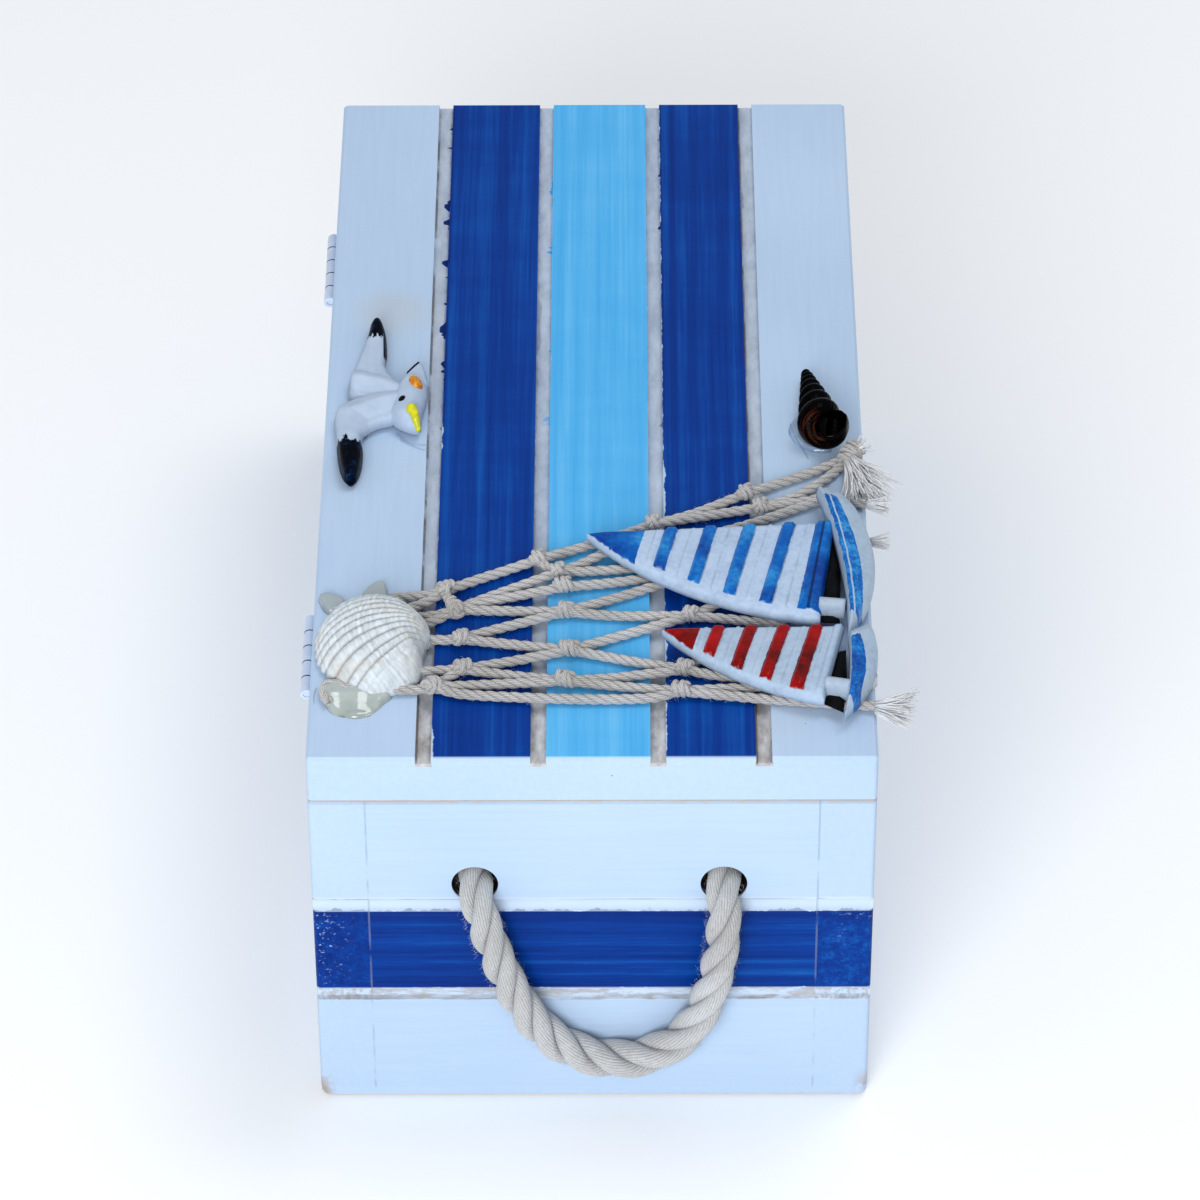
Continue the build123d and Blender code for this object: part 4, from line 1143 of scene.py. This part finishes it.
def hull_paint(name, start, stop, thin_end, wide_start, wide_end):
    """A thin and a wide blue stripe along the rail, from start to stop."""
    p = Paint(name)
    deep, mid, light = BLUES
    down, along, _ = p.axes(p.uv)
    ragged = p.ragged(380, 4, 0.65, 0.006)
    edge = down + ragged
    wave = (along * 3.14).math("SINE") * 0.016
    thin = p.inside(edge, 0.0045, thin_end, 0.0010)
    wide = p.step(edge, wide_start, wide_start + 0.0012)
    wide = wide * p.step(edge - (wave + wide_end), 0.0, 0.0012, 1.0, 0.0)
    mask = (thin | wide) * p.inside(along + ragged * 6.0, start, stop, 0.01)
    # Painted shade: the hull's resin is a darker copy of the white.
    white, height = resin_white(p, (0.69, 0.78, 0.83))
    tone = p.noise(200, 4, 0.65) * 0.6 + p.noise(1200, 3, 0.6) * 0.4
    colour = p.mix(mask, white, p.ramp(tone, (0.36, *deep), (0.50, *mid), (0.64, *light)))
    return p.finish(colour, p.step(mask, 0.0, 1.0, 0.5, 0.24), height, 0.0001, 0.6, Specular_IOR_Level=0.14)


plain = mast_foot_shaded_resin()
dark = shade_black_resin()
# A boat stands "at" a place in mm from the lid's right side and front end, at a heading in degrees. Its own
# mm run up the mast and aft. A rib is (start, width), and "margin" is the bare strip along the rear edge.
# Each boat's shade darkens its copies of the white resin, as painted shade.
large_boat = {
    "at": (7.3, 71.1, 172.8), "shade": (0.77, 0.86, 0.95), "lean": -0.09,
    "foot": 32.5, "tip": (53.3, 10.0), "leech": (28.3, 26.5), "margin": 2.0,
    "ribs": [(0.0, 3.7)] + [(8.4 * i, 2.5) for i in range(1, 5)], "bare": [],
    "panels": [5.3, 13.6, 21.8, 30.0, 37.6],
    "deck": ((5.0, -10.5), (-2.3, 12.4), (-6.5, 37.1)), "keel": (-10.0, 12.4), "bow": (-0.9, -10.0),
    "backing": ((0.6, 1.0), (0.6, 31.0), (-4.2, 31.0), (-2.6, 12.4), (1.0, -1.0)),
    "hull_paint": hull_paint("large_hull_paint", 0.10, 0.90, 0.012, 0.0155, 0.024),
}
small_boat = {
    "at": (6.3, 36.5, 168.2), "shade": (0.70, 0.79, 0.86), "lean": -0.05,
    "foot": 23.9, "tip": (38.0, 8.6), "leech": (20.4, 19.4), "margin": 1.1,
    "ribs": [(0.0, 2.0)] + [(4.4 + 6.8 * i, 2.4) for i in range(4)], "bare": [0.0],
    "panels": [2.9, 8.3, 15.1, 21.9, 28.6],
    "deck": ((-1.5, 3.3), (-3.9, 15.0), (-5.1, 27.6)), "keel": (-9.0, 10.0), "bow": (-5.2, -2.4),
    "backing": ((0.4, 6.0), (0.4, 23.0), (-4.4, 25.0), (-3.4, 15.0), (-1.4, 5.0)),
    "hull_paint": hull_paint("small_hull_paint", 0.16, 0.90, 0.012, 0.0115, 0.019),
}
sailboat("large_boat", "large_sailboat", large_boat, sail_paint("blue_sail_paint", large_boat, *BLUES, 40.4))
sailboat("small_boat", "small_sailboat", small_boat, sail_paint("red_sail_paint", small_boat, *REDS, 29.6))


# ---------------------------------------------------------------- gull
GULL_BASE = 100.35  # mm
EYE_MIDDLE, EYE_REACH = (-42.75, -3.25), (0.76, 0.90)  # mm
GULL_FORMS = (  # outline, height, ridge line, width of the rounded edge, spacing and tuck, in mm
    ([(-50.9, 27.6), (-50.2, 29.5), (-49.2, 29.9), (-48.2, 29.1), (-47.2, 24.6), (-46.7, 17.6),
      (-46.8, 12.5), (-44.0, 6.0), (-42.5, 2.0), (-48.0, 0.4), (-52.6, 0.3), (-54.9, 3.0),
      (-54.9, 8.6), (-53.8, 13.0), (-52.2, 19.7), (-51.2, 24.9)],
     3.6, [(-49.4, 28.0), (-50.2, 14.0), (-49.6, 7.0), (-43.0, 4.0)], 1.4, 0.45, 0.7),
    ([(-41.0, 2.6), (-45.6, 6.6), (-50.6, 9.1), (-54.4, 9.0), (-54.9, 5.0), (-53.4, 1.2),
      (-49.0, -0.6), (-43.0, 0.0)],
     4.3, [(-53.8, 7.0), (-47.0, 4.9), (-42.0, 1.6)], 1.2, 0.45, 0.7),
    ([(-41.5, 2.2), (-46.5, 2.0), (-49.8, 1.4), (-53.5, 0.0), (-56.6, -2.5), (-57.8, -5.4),
      (-57.2, -13.1), (-56.7, -19.6), (-56.0, -24.4), (-54.9, -28.0), (-53.5, -28.9), (-52.1, -28.0),
      (-51.2, -24.0), (-51.0, -18.4), (-51.4, -13.6), (-50.2, -11.0), (-47.8, -8.9), (-44.5, -7.6),
      (-40.5, -5.0)],
     4.6, [(-53.8, -27.0), (-54.0, -14.0), (-54.4, -5.6), (-47.0, -1.6), (-42.0, -0.2)], 1.3, 0.45, 0.9),
    ([(-43.9, 4.4), (-43.0, 8.2), (-41.2, 11.0), (-39.4, 12.7), (-38.1, 11.2), (-37.4, 8.0),
      (-37.4, 4.2)],
     3.9, [(-39.4, 12.0), (-40.2, 5.0)], 0.9, 0.4, 0.6),
    ([(-45.5, -2.4), (-45.7, -6.0), (-44.2, -8.7), (-41.6, -10.6), (-39.4, -11.3), (-38.4, -10.6),
      (-38.3, -8.6), (-38.1, -5.2), (-37.5, -1.9), (-37.0, 2.4), (-37.8, 5.6), (-40.6, 7.4),
      (-43.6, 5.2), (-45.0, 1.0)],
     5.9, [(-41.2, 4.0), (-40.9, -3.0), (-41.2, -7.0)], 2.4, 0.4, 1.1),
)
gull_feet_rim = [
    (-41.3, 2.6), (-40.7, 3.9), (-39.5, 4.1), (-38.4, 3.1), (-38.2, 1.6), (-39.0, 0.5), (-40.5, 0.9),
]
gull_bill = [(-41.3, -6.6), (-40.5, -7.3), (-39.8, -8.6), (-39.3, -9.9), (-38.9, -11.0)]


def wing_height(peak, ridge, edge):
    """A form that is highest along a ridge line and thins away from it."""

    def height(points, away):
        crown = 1 - 0.30 * np.clip(line_distance(points, np.array(ridge)) / 4.0, 0, 1) ** 1.2
        return peak * (0.34 + 0.66 * rounded(away, edge)) * crown

    return height


def top_of(piece, x, y):
    """The height in mm of a piece's top surface at a place in mm."""
    found, place, _, _ = piece.ray_cast((x * MM, y * MM, 0.2), (0, 0, -1))
    return place[2] / MM if found else GULL_BASE


def bead(name, bird, outline, profile, spacing, material):
    """A drop of paint on the bird; profile gives its height in mm over the bird."""
    base = GULL_BASE + 3.0
    soup = Soup()
    pillow(soup, outline, lambda points, away: (
        np.array([top_of(bird, *place) for place in points]) - base + profile(away)), base, spacing)
    return soup.make(name, material)


def beak(bird):
    line = [(x * MM, y * MM, (top_of(bird, x, y) + 0.15) * MM) for x, y in gull_bill]
    line = even(spline_line(line), 0.0002)
    share = np.linspace(0, 1, len(line))
    thick = 0.00150 * np.sqrt(np.clip(share / 0.16, 0.02, 1)) * (1 - 0.62 * share**0.8)
    soup = Soup()
    soup.grid(tube(line, thick, 20), np.zeros((len(line), 20, 2)))
    return soup.make("gull_beak", enamel("beak_yellow", (0.42, 0.46, 0.003), (0.72, 0.66, 0.01), 0.22))


def enamel(name, deep, light, rough, shine=0.4):
    p = Paint(name)
    colour = p.ramp(p.noise(700, 3, 0.6), (0.38, *deep), (0.62, *light))
    return p.finish(colour, rough, p.noise(1600), 0.00008, 0.5, Specular_IOR_Level=shine)


def gull_paint():
    """White with near-black wing tips, dark lines along the far wing and the tail, and painted shade low on its
    sides.
    """
    p = Paint("gull_paint")
    x, y, z = p.axes()
    white, height = resin_white(p)
    white = p.mix(0.75, white, p.ramp(p.noise(200), (0.3, 0.34, 0.44, 0.58), (0.7, 0.44, 0.54, 0.68)))
    # Painted shade: the white greys towards the bottom of the bird.
    white = p.mix(p.step(z, 0.1036, 0.1010) * 0.35, white, (0.24, 0.25, 0.27))
    yr = y + p.ragged(520, 4, 0.65, 0.0080, (1.6, 0.6, 1.0))
    near = p.step(yr, -0.0163, -0.0158, 1.0, 0.0)
    far = p.step(yr, 0.0218, 0.0223)
    rim = p.step(x + y * 0.035, -0.04705, -0.04680) * p.step(yr, 0.0150, 0.0160) * p.step(x, -0.0440, -0.0445)
    tail = p.step(y - (x + 0.0412) * 1.25, 0.0086, 0.0089) * p.step(x, -0.0422, -0.0418)
    tail = tail * p.step(y, 0.0070, 0.0080) * p.step(x, -0.0390, -0.0394)
    mask = near | far | rim | tail
    navy = p.ramp(p.noise(420, 4, 0.65), (0.46, 0.000, 0.0002, 0.002), (0.62, 0.000, 0.005, 0.022),
                  (0.78, 0.004, 0.06, 0.14))
    colour = p.mix(mask, white, navy)
    rough = p.step(mask, 0, 1, 0.42, 0.22)
    return p.finish(colour, rough, height * 0.5 + mask, 0.0001, 0.6, Specular_IOR_Level=0.03)


def gull():
    soup = Soup()
    for corners, peak, ridge, edge, spacing, tuck in GULL_FORMS:
        pillow(soup, smooth_outline(corners, spacing), wing_height(peak, ridge, edge), GULL_BASE, spacing, tuck)
    bird = soup.make("gull", gull_paint())
    bill = beak(bird)
    orange = enamel("feet_orange", (0.50, 0.13, 0.001), (0.74, 0.34, 0.004), 0.16)
    feet = bead("gull_feet", bird, smooth_outline(gull_feet_rim, 0.25),
                lambda away: 0.10 + 0.70 * rounded(away, 0.9), 0.25, orange)
    turn = np.linspace(0, TURN, 24, endpoint=False)
    rim = np.array(EYE_MIDDLE) + np.array(EYE_REACH) * np.stack([np.cos(turn), np.sin(turn)], 1)
    black = enamel("eye_black", (0.001, 0.001, 0.001), (0.003, 0.003, 0.004), 0.2, 0.05)
    eye = bead("gull_eye", bird, rim, lambda away: 0.12 + 0.18 * np.sqrt(np.clip(away / 0.6, 0, 1)), 0.2, black)
    for piece in (bird, bill, feet, eye):
        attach(piece, "lid")
    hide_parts("seagull")


gull()


# ---------------------------------------------------------------- cockle
SHELL_BASE = 100.05  # mm
COCKLE_MIDDLE = np.array((-46.9, -83.8))
COCKLE_BEAK = np.array((-34.2, -82.2))
cockle_rim = [
    (-34.3, -81.4), (-35.2, -84.2), (-36.0, -87.4), (-35.9, -90.6), (-36.6, -93.8), (-38.4, -96.2),
    (-40.8, -97.8), (-43.6, -99.0), (-46.4, -99.5), (-49.5, -98.2), (-52.2, -96.4), (-54.3, -94.4),
    (-56.6, -92.4), (-58.4, -89.2), (-59.2, -85.2), (-59.3, -81.0), (-58.2, -76.2), (-56.0, -72.2),
    (-52.8, -69.6), (-49.2, -68.4), (-45.2, -68.6), (-40.9, -70.6), (-37.2, -74.2), (-34.8, -78.0),
]
rib_angles = [-110, -72, -60, -50, -40, -26, -13, -1, 10, 21, 32, 43, 55, 68, 82, 97, 114, 135]  # degrees


def cockle_gauge():
    """Returns the rim's reach from the cockle's middle at each angle."""
    ring = smooth_outline(cockle_rim, 0.3) - COCKLE_MIDDLE
    angle = np.arctan2(ring[:, 1], ring[:, 0])
    reach = np.linalg.norm(ring, axis=1)
    return lambda turn: np.interp(turn, angle, reach, period=TURN)


def cockle_ribs(points):
    """Each point's distance from the beak, and its rib's height from 0 to 1, strength and number."""
    rel = points - COCKLE_BEAK
    away = np.linalg.norm(rel, axis=1)
    turn = np.degrees(np.arctan2(rel[:, 1], -rel[:, 0]))
    bend = 0.0285 * (away - 8)
    turn = (turn + 34 * bend) / (1 - bend)
    phase = np.interp(turn, rib_angles, np.arange(len(rib_angles)) - 2)
    strength = np.clip((turn + 66) / 16, 0.08, 1)
    wave = np.abs(np.sin(np.pi * phase)) ** 0.65
    return away, 0.7 + (wave - 0.7) * strength, strength, np.floor(phase)


def cockle_height():
    gauge = cockle_gauge()

    def height(points, away):
        share = np.full(len(points), 0.5)
        rel = points - COCKLE_MIDDLE
        for _ in range(60):
            moved = rel - np.stack([4.6 * (1 - share), 0.4 * (1 - share)], 1)
            reach = np.linalg.norm(moved, axis=1) / gauge(np.arctan2(moved[:, 1], moved[:, 0]))
            share = 0.55 * share + 0.45 * reach
        smooth = 9.3 * np.clip(1 - np.clip(share, 0, 1) ** 2.6, 0, 1) ** 0.56
        far, wave, strength, number = cockle_ribs(points)
        deep = 0.24 + 0.95 * np.clip(far / 20, 0, 1) ** 0.9
        scales = np.abs(np.sin(far * 2.3 + 0.9 * number)) ** 0.8 * 0.20
        scales = scales * strength * wave * np.clip(far / 12, 0.15, 1)
        growth = 0.06 * np.sin(share * 40 + 0.5 * np.sin(far)) + 0.02 * np.sin(share * 90)
        growth = growth * (1.3 - 0.8 * strength)
        lumps = 0.10 * np.sin(points[:, 0] * 2.1 + 1.3) * np.sin(points[:, 1] * 1.7) * (1.1 - strength)
        return np.maximum(smooth + deep * (wave - 1) + scales + growth + lumps, 0.45 + 0.45 * wave)

    return height


def cockle():
    outline = smooth_outline(cockle_rim, 0.26)
    _, wave, strength, _ = cockle_ribs(outline)
    outline = COCKLE_MIDDLE + (outline - COCKLE_MIDDLE) * (1 - 0.055 * (1 - wave) * strength)[:, None]

    def mark(verts):
        far, wave, _, _ = cockle_ribs(verts[:, :2])
        return np.stack([wave, far / 24], 1)

    soup = Soup()
    pillow(soup, outline, cockle_height(), SHELL_BASE, 0.25, 0.8, mark)
    shell = soup.make("cockle", cockle_finish())
    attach(shell, "lid")
    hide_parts("cockle_shell")


def cockle_finish():
    """Chalky shell: U is the ribs' own height, V runs from the beak to the rim."""
    p = Paint("cockle_shell")
    wave, along, _ = p.axes(p.uv)
    chalk = p.noise(650, 4, 0.65)
    broad = p.noise(120, 3, 0.55)
    bands = p.noise(4, 3, 0.6, at=p.vector(0.0, along * 9.0, broad * 0.5))
    colour = p.ramp(chalk * 0.4 + bands * 0.6, (0.36, 0.41, 0.43, 0.43), (0.50, 0.55, 0.60, 0.63),
                    (0.64, 0.66, 0.73, 0.80))
    # Painted shade: the hollows between the ribs are darkened, in broken patches.
    groove = p.step(wave, 0.66, 0.14) * p.step(p.noise(160, 3, 0.6), 0.30, 0.55, 0.55, 1.0)
    colour = p.mix(groove * 0.72, colour, (0.20, 0.185, 0.165))
    colour = p.mix(p.step(broad, 0.50, 0.68) * 0.34, colour, (0.53, 0.47, 0.37))
    height = chalk * 0.6 + p.noise(2200, 3, 0.6) * 0.4
    return p.finish(colour, 0.5, height, 0.00018, 0.8, Specular_IOR_Level=0.35)


cockle()


# ---------------------------------------------------------------- turret
def turret():
    """A dextral spiral shell that lies on its side with its mouth up and to the right."""
    foot = np.array((51.0, -15.3, 106.15))
    along = unit(np.array((47.9, 10.6, 102.2)) - foot)
    level = unit(np.array((along[1], -along[0], 0.0)))
    up = np.cross(level, along)
    whorls, reach, sides = 7.6, 32.5, 34
    coil, bore, shrink = 2.75, 3.2, 0.79  # the last whorl's radii in mm, and each whorl's share of the next
    around = np.linspace(0, TURN, sides, endpoint=False)
    fluted = np.cos(around) + 0.03 * np.cos(7 * around)

    def rings(k, thick, scale, flare):
        """Rings round the whorls, thick in mm; k counts whorls, and is 0 at the mouth."""
        turn = TURN * k + math.radians(28)
        axial = (reach - 0.9) - reach * scale + 0.9 * flare
        r = (coil * scale)[:, None] + thick[:, None] * fluted
        a = axial[:, None] + ((1.17 + 0.30 * flare) * thick)[:, None] * np.sin(around)
        radial = np.cos(turn)[:, None, None] * level + np.sin(turn)[:, None, None] * up
        return foot + r[..., None] * radial + a[..., None] * along

    k = np.linspace(-whorls, 0, 640)
    scale = (1 / shrink) ** k
    lip = 1 + 0.05 * np.clip((k + 0.10) / 0.10, 0, 1)
    outside = rings(k, bore * scale * np.clip((k + whorls) / 0.8, 0.15, 1) * lip, scale,
                    np.clip((k + 0.55) / 0.55, 0, 1) ** 1.5)
    throat = np.array([0.004, -0.002, -0.02, -0.06, -0.11, -0.17, -0.22])
    inside = rings(throat, bore * np.array([1.03, 0.97, 0.88, 0.84, 0.78, 0.66, 0.3]), np.ones(7), np.ones(7))
    out = np.cos(around)[:, None] * level + np.sin(around)[:, None] * up
    core_rings = (-3.5, 0.15), (-3.0, 0.5), (-1.0, 0.8), (2.5, 2.4), (12.0, 2.0), (23.5, 0.7)
    core = np.stack([foot + along * a + out * r for a, r in core_rings])
    shell = np.concatenate([outside, inside])
    marks = np.concatenate([k, 0.2 + 0.1 * np.arange(len(throat))])
    uvs = np.stack([np.tile(around / TURN, (len(marks), 1)), np.repeat(marks[:, None], sides, 1)], 2)
    soup = Soup()
    for points, places in ((shell, uvs), (core, np.full((6, sides, 2), -0.4))):
        points[..., 2] = np.maximum(points[..., 2], SHELL_BASE)
        soup.grid(points * MM, places)
    shell = soup.make("turret", turret_finish())
    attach(shell, "lid")
    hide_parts("turret_shell")


def turret_finish():
    """Dark glossy shell: U goes round the tube, V counts the whorls back from the mouth."""
    p = Paint("turret_shell")
    around, whorl, _ = p.axes(p.uv)
    streaks = p.noise(3, 4, 0.6, at=p.vector(around * 9.0, whorl * 1.3, 0.0))
    body = p.inside(whorl, -0.72, -0.34, 0.12) * p.inside(around, 0.56, 0.90, 0.06)
    black = p.ramp(p.noise(260, 4, 0.6), (0.35, 0.0001, 0.0001, 0.0001), (0.7, 0.0010, 0.0005, 0.0007))
    brown = p.ramp(streaks, (0.46, 0.008, 0.002, 0.001), (0.66, 0.046, 0.011, 0.004))
    colour = p.mix(p.step(streaks, 0.44, 0.60) * body, black, brown)
    glow = p.step(whorl, 0.10, 0.20) * p.patches(180, 4, 0.6, 0.52, 0.70)
    colour = p.mix(glow * 0.30, colour, (0.05, 0.018, 0.011))
    lip = p.inside(whorl, -0.05, 0.16, 0.02) * p.inside(around, 0.36, 0.66, 0.05)
    colour = p.mix(lip * p.patches(240, 4, 0.7, 0.38, 0.60), colour, (0.20, 0.13, 0.11))
    seam = p.step(abs(around - 0.735), 0.018, 0.004) * p.patches(240, 4, 0.7, 0.52, 0.62)
    colour = p.mix(seam * p.step(whorl, -1.05, -1.20) * 0.35, colour, (0.24, 0.21, 0.24))
    height = (whorl * 170.0).math("SINE") * 0.3 + p.noise(900, 3, 0.6)
    return p.finish(colour, 0.24, height, 0.00010, 0.6, Specular_IOR_Level=0.02)


turret()


# ---------------------------------------------------------------- hot glue
cockle_left_glue = [
    (-59.2, -65.9), (-57.6, -64.9), (-55.8, -65.3), (-53.2, -67.3), (-54.4, -70.6), (-56.6, -71.2),
    (-57.9, -70.0), (-58.7, -67.9),
]
cockle_top_glue = [
    (-50.2, -67.4), (-49.5, -65.0), (-48.0, -62.8), (-46.2, -61.6), (-44.9, -62.0), (-44.2, -63.8),
    (-44.1, -66.6), (-44.6, -69.6), (-49.0, -70.4),
]
cockle_front_glue = [
    (-53.6, -93.6), (-56.2, -95.0), (-57.3, -96.9), (-57.1, -99.0), (-56.2, -101.2), (-55.2, -103.0),
    (-53.5, -104.1), (-50.0, -104.9), (-47.2, -104.2), (-45.6, -102.6), (-44.0, -100.3), (-42.6, -98.2),
    (-47.4, -95.6),
]
turret_side_glue = [
    (46.2, -3.4), (44.6, -5.2), (43.7, -7.6), (43.8, -9.8), (44.7, -12.0), (45.9, -13.8),
    (47.6, -15.3), (50.2, -16.2), (53.0, -15.6), (50.6, -11.4), (48.6, -8.0), (47.4, -5.0),
]


def glue_paint(name, deep, light, rough):
    """Set hot glue, seen as a glossy, slightly cloudy drop, painted lighter towards its top as painted light."""
    p = Paint(name)
    _, _, z = p.axes()
    # Painted light: the drop is lighter towards its top and darker low down.
    colour = p.mix(p.step(z, 0.1002, 0.1022), deep, light)
    cloud = p.patches(240, 3, 0.55, 0.40, 0.66)
    colour = p.mix(cloud * 0.4, colour, tuple(c * 1.18 for c in light))
    return p.finish(colour, rough, p.noise(190, 3, 0.55), 0.0006, 0.5, Coat_Weight=0.5, Coat_Roughness=0.06)


def glue_piece(name, material, drops=(), threads=()):
    """Drops are (outline, height, spacing) and threads are (radius, places), in mm."""
    soup = Soup()
    for corners, height, spacing in drops:
        pillow(soup, smooth_outline(corners, min(spacing, 0.4)), height, LID_TOP, spacing)
    for radius, places in threads:
        fibre(soup, even(spline_line(np.array(places) * MM), 0.0004), radius * MM, 5)
    piece = soup.make(name, material)
    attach(piece, "lid")
    return piece


def front_drop(points, away):
    """The large drop before the cockle, which runs out thin towards the front."""
    thin = 1 - 0.62 * np.clip((points[:, 1] + 98.5) / -4.5, 0, 1)
    return 2.1 * (0.10 + 0.90 * rounded(away, 1.5)) * thin + 0.14 * np.sin(points[:, 0] * 1.1)


def glue():
    milky = glue_paint("milky_glue", (0.20, 0.25, 0.29), (0.33, 0.38, 0.40), 0.25)
    amber = glue_paint("amber_glue", (0.28, 0.32, 0.29), (0.37, 0.42, 0.40), 0.10)
    clear = glue_paint("clear_glue", (0.16, 0.24, 0.36), (0.33, 0.44, 0.60), 0.06)
    glue_piece("cockle_glue_back", milky, [
        (cockle_left_glue, dome(1.5, 0.8, 0.2), 0.45), (cockle_top_glue, dome(2.4, 1.2, 0.2), 0.45),
    ])
    front = glue_piece("cockle_glue_front", amber, [(cockle_front_glue, front_drop, 0.38)], [
        (0.10, [(-58.5, -95.5, 100.4), (-59.2, -97.5, 100.2), (-58.8, -100.0, 100.1)]),
    ])
    puddle = glue_piece("turret_glue_puddle", clear, [(turret_side_glue, dome(1.1, 0.9, 0.1), 0.38)], [
        (0.10, [(44.0, -7.0, 101.0), (44.7, -11.2, 101.2), (46.2, -14.6, 100.6), (47.3, -16.7, 100.2),
                (47.8, -18.4, 100.1)]),
    ])
    glue_piece("gull_glue_threads", clear, threads=[
        (0.12, [(-44.0, -9.6, 100.6), (-42.0, -12.2, 100.4), (-38.8, -13.4, 100.3), (-36.8, -13.2, 100.2)]),
        (0.07, [(-43.0, -11.2, 100.4), (-40.0, -14.0, 100.2), (-36.5, -15.2, 100.1), (-34.5, -15.0, 100.1)]),
    ])
    for piece, node in ((front, "cockle_glue"), (puddle, "turret_glue")):
        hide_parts(node)
    dress(milky, "sailboat_glue", "seagull_glue")


glue()
